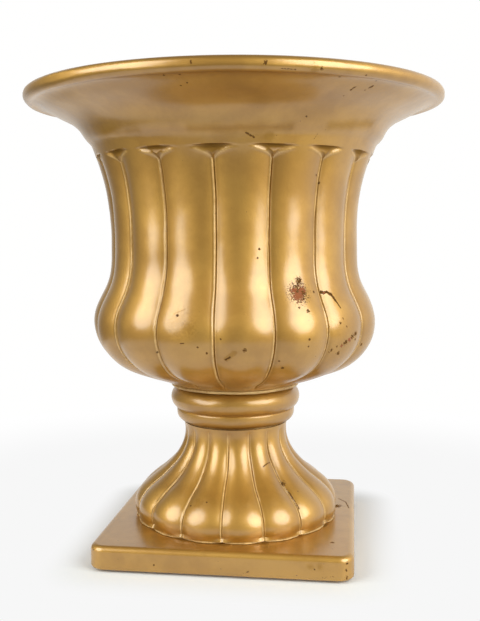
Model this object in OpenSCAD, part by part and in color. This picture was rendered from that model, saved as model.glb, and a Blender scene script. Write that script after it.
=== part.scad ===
// Footed garden urn with a flared rim, sixteen flutes and a square plinth.
// Four hollow castings are stacked, bedded on joint rings and pulled together by one drain tube.
// Millimetres, +Z up, origin on the floor under the middle of the plinth, front face towards -Y.

/* [Flutes] */
// Number of flutes round the body and round the foot
flutes = 16; // [8:4:24]
// Depth of the groove between two flutes of the body
flute_depth = 3; // [1:0.5:4]
// Depth of the groove between two flutes of the foot
foot_flute_depth = 2.5; // [1:0.5:3.5]
// How squarely a flute's back turns down into its grooves
flute_power = 2.6; // [2:0.1:4]

/* [Rim and flare] */
// Outer radius of the rolled lip
rim_r = 182.5; // [176:0.5:190]
// Radius of the lip's round section
lip_r = 5.5; // [4.5:0.5:7]
// How far the flare ends short of the lip's round section
crease_in = 2; // [0:0.5:3]
// How far the flare ends under the lip's round section
crease_down = 1.5; // [0:0.5:2]
// Height from the shoulder to the top of the lip
flare_h = 38; // [34:1:46]
// Radius of the shoulder, where the flare starts
shoulder_r = 132.5; // [130:0.5:136]
// Height of the plain band, from the flute tops to the shoulder
band_h = 18; // [15:1:24]

/* [Body] */
// Height of the fluted body, from its seat to the flute tops
body_h = 199.5; // [190:0.5:215]
// Radius of the body at its flute tops
flute_top_r = 121.5; // [118:0.5:125]
// How far the band overhangs the flutes' backs
ledge = 0.6; // [0.4:0.2:1.4]
// Radius of the waist
waist_r = 110.5; // [106:0.5:114]
// Height of the waist above the seat
waist_h = 118.5; // [112:0.5:126]
// Radius of the belly
belly_r = 127; // [122:0.5:132]
// Height of the belly above the seat
belly_h = 56.5; // [52:0.5:60]
// Radius where the belly's round back meets the flatter underside
tuck_r = 97.5; // [94:0.5:101]
// Height of that place above the seat
tuck_h = 14; // [12:0.5:16]
// Radius of the seat under the body
seat_r = 58; // [55:0.5:61]
// Wall of the castings, measured under a flute's back
wall = 12; // [9:0.5:14]
// Thickness of the bowl's floor
floor_t = 20; // [16:0.5:22]
// Radius of the flat part of the bowl's floor
floor_r = 74; // [60:1:80]

/* [Collar] */
// Height of the collar
collar_h = 33.5; // [33:0.5:40]
// Outer radius of the upper roll
upper_roll_r = 58.5; // [56:0.5:62]
// Radius of the upper roll's section
upper_roll = 11.5; // [10:0.5:12]
// Outer radius of the lower roll
lower_roll_r = 53.5; // [51:0.5:56]
// Radius of the lower roll's section
lower_roll = 8.5; // [7:0.5:9]

/* [Foot] */
// Height of the foot, from its bed to the neck
foot_h = 83.5; // [80:0.5:92]
// Radius of the foot's lower edge
foot_base_r = 91; // [88:0.5:93]
// Largest radius of the foot
foot_swell_r = 93; // [91:0.5:96]
// Height of the foot's largest radius above its bed
foot_swell_h = 8; // [6:0.5:10]
// Radius of the neck
neck_r = 46.5; // [44:0.5:49]
// Radius of the hollow at the foot's lower edge
foot_hollow_r = 78; // [70:0.5:80]
// Radius of the hollow through the neck
stem_bore_r = 26; // [24:0.5:28]

/* [Plinth] */
// Side of the square plinth
plinth_side = 218; // [206:1:230]
// Height of the plinth
plinth_h = 20; // [18:0.5:30]
// Radius of the plinth's upright corners
plinth_corner_r = 13; // [9:0.5:20]
// Radius of the plinth's level edges
plinth_edge_r = 5; // [2:0.5:7]
// Thickness of the plinth's deck over the recess
deck_t = 8; // [6:0.5:9]
// Side of the square recess under the deck
recess_side = 140; // [100:1:150]
// Height of the ring on the deck that centres the foot
locator_h = 5; // [3:0.5:7]
// Thickness of that ring
locator_t = 6; // [4:0.5:8]

/* [Joints] */
// Thickness of the bed between bowl and collar
bowl_bed_t = 2; // [1:0.5:3]
// Thickness of the bed between collar and foot
neck_bed_t = 1; // [0.5:0.5:2]
// Thickness of the bed between foot and plinth
foot_bed_t = 1.5; // [1:0.5:3]
// How far a bed's bead stands out past the edge that it lies under
bead = 0.8; // [0.4:0.2:1.6]
// Radius of the spigots that enter the collar
spigot_r = 35; // [34:0.5:37]
// Length of each spigot
spigot_h = 10; // [6:0.5:12]
// Clearance round a spigot and round the locating ring
fit_gap = 0.5; // [0.3:0.1:1]

/* [Drain tube] */
// Outer radius of the threaded tube that ties the castings
tube_r = 7; // [6:0.5:8]
// Radius of the tube's bore, where the water leaves
tube_bore_r = 5; // [4:0.5:5.5]
// Clearance round the tube in the castings
tube_gap = 0.5; // [0.3:0.1:1]
// Clearance between tube and nut, washer or gasket
thread_gap = 0.1; // [0.05:0.05:0.2]
// Length of tube past each nut
tube_tail = 1.5; // [1:0.5:2.5]
// Width of a nut across its flats
nut_af = 22; // [20:0.5:23]
// Height of a nut
nut_h = 7; // [6:0.5:8]
// Radius of a washer
washer_r = 14.5; // [13:0.5:15]
// Thickness of a washer
washer_t = 1.5; // [1:0.5:2]
// Radius of the sealing gasket
gasket_r = 15.5; // [15:0.5:16.5]
// Thickness of the sealing gasket
gasket_t = 3; // [2:0.5:4]
// Radius of the well in the bowl's floor that takes gasket, washer and nut
well_r = 18; // [17:0.5:22]
// How far the tube ends below the bowl's floor
well_gap = 1; // [0.5:0.5:1.5]

/* [Pads] */
// Radius of a felt pad
pad_r = 12; // [8:0.5:14]
// Thickness of a felt pad
pad_t = 2; // [1:0.5:4]
// Distance of a pad's centre from the plinth's sides
pad_inset = 22; // [20:0.5:24]

/* [Hidden] */

// Facets of one flute, and the resolution of round solids
flute_steps = 8;
round_fn = 128;
small_fn = 48;

// Share of a curve's chord that its two handles take
handle = 0.36;
// Overlap of a cutter past the face that it opens
past = 1;
// How far the fluted solid runs on inside the band
lap = 2;

// Lean of the outline where flutes and band meet, and again at the shoulder
top_lean = 25;
// How far the outline passes inside and below the middle between belly and waist
rise_in = 2.5;
rise_down = 1;
// How far the band swells out and up from the middle between flute tops and shoulder
band_swell = 1;
// How far the foot's outline passes outside and below the middle between swell and neck
foot_rise_out = 4.5;
foot_rise_down = 7.5;
// Length of the foot's neck, how far it opens at the top, and the height over which its flutes fade
neck_h = 7;
neck_flare = 0.5;
foot_fade = 20;

// Levels from the floor up
plinth_z = pad_t;
deck_top_z = plinth_z + plinth_h;
deck_z = deck_top_z - deck_t;
foot_z = deck_top_z + foot_bed_t;
neck_z = foot_z + foot_h;
collar_z = neck_z + neck_bed_t;
collar_top_z = collar_z + collar_h;
seat_z = collar_top_z + bowl_bed_t;
floor_z = seat_z + floor_t;
well_z = floor_z - well_gap - tube_tail - nut_h - washer_t - gasket_t;
flute_top_z = seat_z + body_h;
shoulder_z = flute_top_z + band_h;
rim_z = shoulder_z + flare_h;

gold = [0.72, 0.52, 0.22];
mortar = [0.78, 0.66, 0.48];
steel = [0.62, 0.63, 0.65];
rubber = [0.12, 0.12, 0.12];
felt = [0.22, 0.17, 0.13];

// Directions lean by an angle from +Z towards the outside
function lean(angle) = [sin(angle), cos(angle)];

// Station of an outline: radius, height, lean of the outline, and steps to the next station
function station(r, z, angle, steps = 1) = [[r, z], angle, steps];

// Station moved into the wall, square to the outline
function inset(s, depth) =
    [s[0] + depth * [-cos(s[1]), sin(s[1])], s[1], s[2]];

// Point at share t of the cubic curve between two stations
function curve_point(s, e, t) =
    let (
        reach = handle * norm(e[0] - s[0]),
        c = s[0] + reach * lean(s[1]),
        d = e[0] - reach * lean(e[1])
    )
    pow(1 - t, 3) * s[0] + 3 * pow(1 - t, 2) * t * c
        + 3 * (1 - t) * pow(t, 2) * d + pow(t, 3) * e[0];

// Smooth line of points through a list of stations
function curve(stations) = [
    for (i = [0:len(stations) - 2])
        for (k = [0:stations[i][2] - 1])
            curve_point(stations[i], stations[i + 1], k / stations[i][2]),
    stations[len(stations) - 1][0]
];

// How far the surface lies under a flute's back at one column, as a share of the groove depth
function groove(column) =
    pow(abs(1 - 2 * (column % flute_steps) / flute_steps), flute_power);

// One closed turn round the axis, fluted to a given depth
function flute_ring(r, depth) = [
    for (j = [0:flutes * flute_steps - 1])
        (r - depth * groove(j)) * [
            cos(360 * j / (flutes * flute_steps)),
            sin(360 * j / (flutes * flute_steps))
        ]
];

// Solid of revolution with flutes: each point of the line is a ring with its own groove depth
module fluted_solid(line, depths) {
    turn = flutes * flute_steps;
    rows = len(line);
    points = [
        for (i = [0:rows - 1])
            for (p = flute_ring(line[i][0], depths[i])) [p[0], p[1], line[i][1]]
    ];
    sides = [
        for (i = [0:rows - 2])
            for (j = [0:turn - 1])
                let (
                    a = i * turn + j,
                    b = i * turn + (j + 1) % turn
                )
                each [[a, a + turn, b + turn], [a, b + turn, b]]
    ];
    under = [for (j = [0:turn - 1]) j];
    over = [for (j = [turn - 1:-1:0]) (rows - 1) * turn + j];
    polyhedron(points = points, faces = concat(sides, [under, over]));
}

// Ring between two radii
module ring(r_in, r_out, h) {
    difference() {
        cylinder(r = r_out, h = h, $fn = round_fn);
        translate([0, 0, -past]) cylinder(r = r_in, h = h + 2 * past, $fn = round_fn);
    }
}

// Outline of the body's flutes, from the seat up to the flute tops, and on into the band
tuck = station(tuck_r, seat_z + tuck_h, 66, 7);
belly = station(belly_r, seat_z + belly_h, 0, 5);
rise = station(
    (belly_r + waist_r) / 2 - rise_in, seat_z + (belly_h + waist_h) / 2 - rise_down, -26, 5);
waist = station(waist_r, seat_z + waist_h, 0, 7);
flute_top = station(flute_top_r, flute_top_z, top_lean, 4);
body_line = concat(
    curve([station(seat_r, seat_z, 70, 4), tuck, belly, rise, waist, flute_top]),
    [[flute_top_r, flute_top_z + lap]]);

// Outline of the band and the flare, up to the lip
lip_centre = [rim_r - lip_r, rim_z - lip_r];
band_foot = station(flute_top_r + ledge, flute_top_z, top_lean, 4);
band = station(
    (flute_top_r + shoulder_r) / 2 + band_swell, flute_top_z + band_h / 2 + band_swell, 40, 4);
shoulder = station(shoulder_r, shoulder_z, top_lean, 8);
crease = station(lip_centre[0] - lip_r - crease_in, lip_centre[1] - lip_r - crease_down, 70);
lip_lean = 75;
lip_top = station(
    lip_centre[0] - lip_r * cos(lip_lean), lip_centre[1] + lip_r * sin(lip_lean), lip_lean);

// Outline of the bowl's inside, from the floor up to the lip
inside_line = curve([
    station(floor_r, floor_z, 90, 3),
    inset(tuck, wall), inset(belly, wall), inset(rise, wall), inset(waist, wall),
    inset(flute_top, wall), inset(shoulder, wall), lip_top
]);

// Fluted bowl with its plain band, flare and rolled lip
module bowl() {
    depths = [for (p = body_line) flute_depth * min(1, p[0] / waist_r)];
    color(gold) difference() {
        union() {
            fluted_solid(body_line, depths);
            rotate_extrude($fn = round_fn) {
                polygon(concat(
                    [[0, flute_top_z]], curve([band_foot, band, shoulder, crease]),
                    [lip_centre, lip_top[0], [0, lip_top[0][1]]]));
                translate(lip_centre) circle(r = lip_r, $fn = small_fn);
            }
            translate([0, 0, seat_z - spigot_h])
                cylinder(r = spigot_r, h = spigot_h, $fn = round_fn);
        }
        rotate_extrude($fn = round_fn)
            polygon(concat(
                [[0, floor_z]], inside_line,
                [[lip_top[0][0], rim_z + past], [0, rim_z + past]]));
        translate([0, 0, well_z])
            cylinder(r = well_r, h = floor_z - well_z + past, $fn = round_fn);
        translate([0, 0, seat_z - spigot_h - past])
            cylinder(r = tube_r + tube_gap, h = spigot_h + floor_t + past, $fn = small_fn);
    }
}

// Bed of joint material under the bowl, with its bead showing
module bowl_bed() {
    color(mortar) translate([0, 0, collar_top_z])
        ring(spigot_r + fit_gap, seat_r + bead, bowl_bed_t);
}

// Collar with a large roll over a small one
module collar() {
    upper_z = collar_h - upper_roll;
    lower_z = lower_roll;
    color(gold) translate([0, 0, collar_z]) difference() {
        rotate_extrude($fn = round_fn) {
            square([lower_roll_r - lower_roll, collar_h]);
            translate([upper_roll_r - upper_roll, upper_z]) circle(r = upper_roll, $fn = small_fn);
            translate([lower_roll_r - lower_roll, lower_z]) circle(r = lower_roll, $fn = small_fn);
        }
        translate([0, 0, -past])
            cylinder(r = spigot_r + fit_gap, h = collar_h + 2 * past, $fn = round_fn);
    }
}

// Bed of joint material between collar and foot
module neck_bed() {
    color(mortar) translate([0, 0, neck_z])
        ring(spigot_r + fit_gap, lower_roll_r - lower_roll, neck_bed_t);
}

// Outline of the foot's flutes, from its bed up to the neck
foot_rise = station(
    (foot_swell_r + neck_r) / 2 + foot_rise_out, foot_z + foot_h / 2 - foot_rise_down, -54, 6);
foot_stations = [
    station(foot_base_r, foot_z, 25, 3),
    station(foot_swell_r, foot_z + foot_swell_h, 0, 5),
    foot_rise,
    station(neck_r, neck_z - neck_h, 0, 2),
    station(neck_r + neck_flare, neck_z, 6)
];

// Fluted hollow foot, with a spigot that enters the collar
module foot() {
    line = curve(foot_stations);
    depths = [for (p = line) foot_flute_depth * min(1, (neck_z - p[1]) / foot_fade)];
    hollow = curve([
        station(foot_hollow_r, foot_z, 0, 3),
        inset(foot_stations[1], wall), inset(foot_rise, wall),
        station(stem_bore_r, neck_z - neck_h, 0)
    ]);
    color(gold) difference() {
        union() {
            fluted_solid(line, depths);
            translate([0, 0, neck_z]) cylinder(r = spigot_r, h = spigot_h, $fn = round_fn);
        }
        rotate_extrude($fn = round_fn)
            polygon(concat(
                [[0, foot_z - past], [foot_hollow_r, foot_z - past]], hollow,
                [[stem_bore_r, neck_z + spigot_h + past], [0, neck_z + spigot_h + past]]));
    }
}

// Bed of joint material under the foot, with a bead that follows the flutes
module foot_bed() {
    color(mortar) translate([0, 0, deck_top_z]) linear_extrude(foot_bed_t) difference() {
        polygon(flute_ring(foot_base_r + bead, foot_flute_depth));
        circle(r = foot_hollow_r, $fn = round_fn);
    }
}

// Section of the plinth's edge, from an upright line out to the face
module plinth_edge(reach) {
    square([reach - plinth_edge_r, plinth_h]);
    translate([0, plinth_edge_r]) square([reach, plinth_h - 2 * plinth_edge_r]);
    for (z = [plinth_edge_r, plinth_h - plinth_edge_r])
        translate([reach - plinth_edge_r, z]) circle(r = plinth_edge_r, $fn = small_fn);
}

// Square plinth with soft edges, a recess underneath and a locating ring on its deck
module plinth() {
    span = plinth_side / 2 - plinth_corner_r;
    color(gold) translate([0, 0, plinth_z]) difference() {
        union() {
            for (x = [-span, span], y = [-span, span])
                translate([x, y, 0])
                    rotate_extrude($fn = small_fn) plinth_edge(plinth_corner_r);
            for (turn = [0:90:270])
                rotate([0, 0, turn]) translate([0, -span, 0]) rotate([90, 0, -90])
                    linear_extrude(2 * span, center = true) plinth_edge(plinth_corner_r);
            translate([-span, -span, 0]) cube([2 * span, 2 * span, plinth_h]);
            translate([0, 0, plinth_h - past])
                cylinder(r = foot_hollow_r - fit_gap, h = locator_h + past, $fn = round_fn);
        }
        translate([0, 0, plinth_h]) cylinder(
            r = foot_hollow_r - fit_gap - locator_t, h = locator_h + past, $fn = round_fn);
        translate([-recess_side / 2, -recess_side / 2, -past])
            cube([recess_side, recess_side, plinth_h - deck_t + past]);
        cylinder(r = tube_r + tube_gap, h = plinth_h + past, $fn = small_fn);
    }
}

// Levels of the fasteners, in from each end of the stack
top_washer_z = well_z + gasket_t;
top_nut_z = top_washer_z + washer_t;
bottom_washer_z = deck_z - washer_t;
bottom_nut_z = bottom_washer_z - nut_h;

// Tube from the recess under the deck into the well of the bowl's floor
module drain_tube() {
    low = bottom_nut_z - tube_tail;
    high = top_nut_z + nut_h + tube_tail;
    color(steel) translate([0, 0, low]) ring(tube_bore_r, tube_r, high - low);
}

// Hexagon nut with its bore
module nut() {
    color(steel) difference() {
        cylinder(r = nut_af / 2 / cos(30), h = nut_h, $fn = 6);
        translate([0, 0, -past])
            cylinder(r = tube_r + thread_gap, h = nut_h + 2 * past, $fn = small_fn);
    }
}

module top_nut() {
    translate([0, 0, top_nut_z]) nut();
}

module top_washer() {
    color(steel) translate([0, 0, top_washer_z]) ring(tube_r + thread_gap, washer_r, washer_t);
}

// Gasket that keeps water out of the tube's hole in the floor
module floor_gasket() {
    color(rubber) translate([0, 0, well_z]) ring(tube_r + thread_gap, gasket_r, gasket_t);
}

module bottom_washer() {
    color(steel) translate([0, 0, bottom_washer_z]) ring(tube_r + thread_gap, washer_r, washer_t);
}

module bottom_nut() {
    translate([0, 0, bottom_nut_z]) nut();
}

// Felt pad under one corner of the plinth
module pad(x_side, y_side) {
    place = plinth_side / 2 - pad_inset;
    color(felt) translate([x_side * place, y_side * place, 0])
        cylinder(r = pad_r, h = pad_t, $fn = small_fn);
}

bowl();
bowl_bed();
collar();
neck_bed();
foot();
foot_bed();
plinth();
drain_tube();
top_nut();
top_washer();
floor_gasket();
bottom_washer();
bottom_nut();
pad(-1, -1);  // pad_front_left
pad(1, -1);  // pad_front_right
pad(-1, 1);  // pad_back_left
pad(1, 1);  // pad_back_right
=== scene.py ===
"""A footed garden urn in worn gold lacquer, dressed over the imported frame.

Lengths in the fields are millimetres, as on the drawing, and angles are degrees; meshes are in metres.
"""

import logging
import math
from dataclasses import dataclass, replace
from enum import Enum
from functools import cache
from typing import Callable, Iterable, Sequence

import bpy
import numpy as np
from mathutils import Matrix, Vector


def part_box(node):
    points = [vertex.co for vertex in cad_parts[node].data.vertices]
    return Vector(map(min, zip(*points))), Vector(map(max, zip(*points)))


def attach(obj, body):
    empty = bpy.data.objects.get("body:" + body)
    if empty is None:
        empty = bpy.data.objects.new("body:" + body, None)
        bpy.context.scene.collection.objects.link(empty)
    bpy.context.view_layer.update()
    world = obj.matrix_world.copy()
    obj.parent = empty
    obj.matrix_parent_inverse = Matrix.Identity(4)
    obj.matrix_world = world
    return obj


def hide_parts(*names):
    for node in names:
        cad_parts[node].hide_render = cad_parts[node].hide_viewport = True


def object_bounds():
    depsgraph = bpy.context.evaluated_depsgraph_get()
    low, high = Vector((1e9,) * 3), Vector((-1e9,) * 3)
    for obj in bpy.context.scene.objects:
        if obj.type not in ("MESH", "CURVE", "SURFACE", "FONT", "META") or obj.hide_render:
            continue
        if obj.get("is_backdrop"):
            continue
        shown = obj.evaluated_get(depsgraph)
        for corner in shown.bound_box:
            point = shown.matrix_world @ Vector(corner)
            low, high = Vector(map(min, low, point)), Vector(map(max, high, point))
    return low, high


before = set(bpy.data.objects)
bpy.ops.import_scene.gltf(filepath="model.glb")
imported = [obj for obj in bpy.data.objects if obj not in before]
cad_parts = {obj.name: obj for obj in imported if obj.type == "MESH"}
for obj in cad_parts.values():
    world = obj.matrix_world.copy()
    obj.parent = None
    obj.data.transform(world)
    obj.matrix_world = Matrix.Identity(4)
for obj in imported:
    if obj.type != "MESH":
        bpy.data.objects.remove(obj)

LOG = logging.getLogger("urn")
MM = 0.001
TURN = 2 * math.pi
QUARTER = math.pi / 2
Array = np.ndarray
Piece = bpy.types.Object
Material = bpy.types.Material
Tree = bpy.types.NodeTree
Node = bpy.types.Node
Socket = bpy.types.NodeSocket
Source = Socket | float
Line = list[tuple[float, float]]
Colour = tuple[float, float, float]
Place = tuple[float, float, float]


# Heights in the frame

@cache
def span(node: str) -> tuple[float, float]:
    """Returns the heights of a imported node's foot and top, in mm."""
    low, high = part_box(node)
    return low.z / MM, high.z / MM


def foot_of(node: str) -> float:
    """Returns the height of a node's foot, in mm."""
    return span(node)[0]


def top_of(node: str) -> float:
    """Returns the height of a node's top, in mm."""
    return span(node)[1]


# Slopes, bumps and turned points

def smooth(value: Array, low: float, high: float) -> Array:
    """Returns 0 below low, 1 above high and an even slope between them."""
    t = np.clip((value - low) / (high - low), 0, 1)
    return t * t * (3 - 2 * t)


def bump(value: Array, centre: float, width: float) -> Array:
    """Returns a soft bump of height 1 round a centre."""
    return np.exp(-(((value - centre) / width) ** 2))


@dataclass(frozen=True)
class Slope:
    """A smooth rise from 0 to 1 between two places, both measured from a base."""

    low: float
    high: float

    def over(self, value: Array, base: Array | float) -> Array:
        """Returns how far up the slope each value lies."""
        return smooth(value, base + self.low, base + self.high)


def radii(points: Array) -> Array:
    """Returns each point's distance from the axis, in the points' own unit."""
    return np.hypot(points[:, 0], points[:, 1])


def turned(radius: Array, angle: Array, z: Array) -> Array:
    """Returns points by their radius, their angle from +X in radians, and their height."""
    return np.column_stack([radius * np.cos(angle), radius * np.sin(angle), z])


def on_circle(centre: tuple[float, float], r: float, angles: Iterable[float]) -> Line:
    """Returns the points of an arc at the given angles, in radians."""
    return [(centre[0] + r * math.cos(a), centre[1] + r * math.sin(a)) for a in angles]


# Outlines

@dataclass(frozen=True)
class Station:
    """A point that an outline passes, with its lean from +Z towards the outside."""

    r: float
    z: float
    lean: float

    def inset(self, depth: float) -> "Station":
        """Returns the station moved into the wall, square to the outline."""
        a = math.radians(self.lean)
        return Station(self.r - depth * math.cos(a), self.z + depth * math.sin(a), self.lean)


@dataclass(frozen=True)
class Outline:
    """A smooth line through stations, with the same handles as the castings' drawing."""

    stations: tuple[Station, ...]
    handle: float = 0.36
    least_step: float = 0.3

    def dense(self, steps: int = 90) -> Array:
        """Samples the line closely.

        Args:
            steps: Samples between two stations.

        Returns:
            Radius and height of each sample, in mm.
        """
        found = []
        for a, b in zip(self.stations, self.stations[1:]):
            start, end = np.array([a.r, a.z]), np.array([b.r, b.z])
            reach = self.handle * np.linalg.norm(end - start)
            out = [np.array([math.sin(math.radians(s.lean)), math.cos(math.radians(s.lean))]) for s in (a, b)]
            c, d = start + reach * out[0], end - reach * out[1]
            t = np.linspace(0, 1, steps, endpoint=False)[:, None]
            u = 1 - t
            found.append(u**3 * start + 3 * u**2 * t * c + 3 * u * t**2 * d + t**3 * end)
        found.append(np.array([[self.stations[-1].r, self.stations[-1].z]]))
        return np.vstack(found)

    def spaced(self, spacing: Callable[[float], float]) -> Line:
        """Walks the line in steps that suit each height.

        Args:
            spacing: Gives the step, in mm, at a height in mm.

        Returns:
            The points of the walk, both ends included.
        """
        dense = self.dense()
        length = np.concatenate([[0], np.cumsum(np.linalg.norm(np.diff(dense, axis=0), axis=1))])
        stops, at = [0.0], 0.0
        while at < length[-1]:
            at += spacing(float(np.interp(at, length, dense[:, 1])))
            stops.append(min(at, float(length[-1])))
        if len(stops) > 2 and stops[-1] - stops[-2] < self.least_step * (stops[-2] - stops[-3]):
            stops.pop(-2)
        return [tuple(float(np.interp(s, length, dense[:, side])) for side in (0, 1)) for s in stops]


@dataclass(frozen=True)
class Ripple:
    """The slow unevenness of a hand-finished casting: a sum of plane waves with fixed directions."""

    seed: int
    wavelength: float
    height: float = 1.0
    waves: int = 10
    spread: tuple[float, float] = (0.7, 1.5)

    def at(self, points: Array) -> Array:
        """Measures the ripple on a surface.

        Args:
            points: Places in metres.

        Returns:
            About -1 to 1 times the ripple's height, at each place.
        """
        rng = np.random.default_rng(self.seed)
        total = np.zeros(len(points))
        for _ in range(self.waves):
            direction = rng.normal(size=3)
            direction /= np.linalg.norm(direction)
            wave = TURN / (self.wavelength * MM * rng.uniform(*self.spread))
            total += np.sin(points @ direction * wave + rng.uniform(0, TURN))
        return self.height * (total / math.sqrt(self.waves * 2.0))


def rippled(ripples: Iterable[Ripple], points: Array) -> Array:
    """Returns the sum of several ripples at each point."""
    return sum(ripple.at(points) for ripple in ripples)


# Bench work

class Bench:
    """The mesh operations that every piece goes through."""

    START_SIZE = 0.01
    MERGE_DISTANCE = 2e-6

    @staticmethod
    def clear() -> None:
        """Leaves edit mode and deselects everything."""
        if bpy.context.object and bpy.context.object.mode != "OBJECT":
            bpy.ops.object.mode_set(mode="OBJECT")
        bpy.ops.object.select_all(action="DESELECT")

    @staticmethod
    def pick(obj: Piece) -> None:
        """Makes one object the only selected and the active one.

        Args:
            obj: The object.
        """
        Bench.clear()
        obj.select_set(True)
        bpy.context.view_layer.objects.active = obj

    @staticmethod
    def draw(name: str, line: Line) -> Piece:
        """Draws a line of edges in the XZ plane by extruding one vertex.

        Args:
            name: The new object's name.
            line: Radius and height of each point, in mm.

        Returns:
            The object, with its line's points in order.
        """
        Bench.clear()
        bpy.ops.mesh.primitive_plane_add(size=Bench.START_SIZE, location=(0, 0, 0))
        obj = bpy.context.object
        obj.name = obj.data.name = name
        bpy.context.tool_settings.mesh_select_mode = (True, False, False)
        bpy.ops.object.mode_set(mode="EDIT")
        bpy.ops.mesh.select_all(action="SELECT")
        bpy.ops.mesh.merge(type="CENTER")
        bpy.ops.transform.translate(value=(line[0][0] * MM, 0, line[0][1] * MM))
        for (r0, z0), (r1, z1) in zip(line, line[1:]):
            bpy.ops.mesh.extrude_region_move(
                TRANSFORM_OT_translate={"value": ((r1 - r0) * MM, 0, (z1 - z0) * MM)})
        bpy.ops.object.mode_set(mode="OBJECT")
        return obj

    @staticmethod
    def turn(name: str, line: Line, columns: int, closed: bool = True) -> Piece:
        """Spins a line round the urn's axis into a shell.

        Args:
            name: The new object's name.
            line: The section's points, in mm.
            columns: Number of columns round the axis.
            closed: Whether the section's last point joins its first.

        Returns:
            The turned object, merged and with its faces outwards.
        """
        obj = Bench.draw(name, line + line[:1] if closed else line)
        bpy.ops.object.mode_set(mode="EDIT")
        bpy.ops.mesh.select_all(action="SELECT")
        bpy.ops.mesh.spin(steps=columns, angle=TURN, center=(0, 0, 0), axis=(0, 0, 1))
        bpy.ops.mesh.select_all(action="SELECT")
        bpy.ops.mesh.remove_doubles(threshold=Bench.MERGE_DISTANCE)
        bpy.ops.mesh.normals_make_consistent(inside=False)
        bpy.ops.object.mode_set(mode="OBJECT")
        return obj

    @staticmethod
    def block(size: Place, middle_z: float) -> Piece:
        """Adds a box on the axis.

        Args:
            size: Its sides in mm.
            middle_z: Height of its middle, in mm.

        Returns:
            The box, the only object selected.
        """
        Bench.clear()
        scale = [side * MM for side in size]
        bpy.ops.mesh.primitive_cube_add(size=1, location=(0, 0, middle_z * MM), scale=scale)
        return bpy.context.object

    @staticmethod
    def points(obj: Piece) -> Array:
        """Reads a mesh.

        Args:
            obj: The object.

        Returns:
            Its vertices, one a row, in metres.
        """
        found = np.empty(len(obj.data.vertices) * 3)
        obj.data.vertices.foreach_get("co", found)
        return found.reshape(-1, 3)

    @staticmethod
    def place(obj: Piece, points: Array) -> None:
        """Moves the mesh's vertices to the given points."""
        obj.data.vertices.foreach_set("co", points.astype(np.float32).ravel())
        obj.data.update()

    @staticmethod
    def mark(obj: Piece, painted_shade: Array | float = 0.0, painted_highlight: Array | float = 0.0) -> None:
        """Stores how much painted shade and how much painted highlight each vertex gets, for the lacquer to
        read.

        Args:
            obj: The piece.
            painted_shade: Painted shade in creases, hollows and along edges, from 0 to 1, or one number for
                all.
            painted_highlight: The same for the painted highlight on the lips and arms.
        """
        for name, values in (("painted_shade", painted_shade), ("painted_highlight", painted_highlight)):
            layer = obj.data.attributes.new(name, "FLOAT", "POINT")
            spread = np.zeros(len(obj.data.vertices)) + values
            layer.data.foreach_set("value", np.clip(spread, 0, 1).astype(np.float32))

    @staticmethod
    def carve(obj: Piece, tool: Piece, operation: str = "DIFFERENCE") -> None:
        """Applies a boolean with a closed tool and removes the tool.

        Args:
            obj: The piece that is cut or added to.
            tool: The closed tool.
            operation: DIFFERENCE, UNION or INTERSECT.
        """
        Bench.pick(obj)
        step = obj.modifiers.new("carve", "BOOLEAN")
        step.operation, step.object, step.solver = operation, tool, "EXACT"
        bpy.ops.object.modifier_apply(modifier=step.name)
        bpy.data.objects.remove(tool, do_unlink=True)

    @staticmethod
    def finish(obj: Piece, nodes: Sequence[str], slot: str, angle: float = 35) -> None:
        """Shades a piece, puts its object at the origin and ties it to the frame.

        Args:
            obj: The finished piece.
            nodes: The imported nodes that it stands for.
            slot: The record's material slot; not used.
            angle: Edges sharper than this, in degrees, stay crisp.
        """
        Bench.pick(obj)
        bpy.ops.object.transform_apply(location=True, rotation=True, scale=True)
        bpy.ops.object.shade_smooth_by_angle(angle=math.radians(angle))
        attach(obj, "root")
        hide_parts(*nodes)
        LOG.info("%s stands for %s, %d faces", obj.name, ", ".join(nodes), len(obj.data.polygons))


# Fluting

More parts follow.
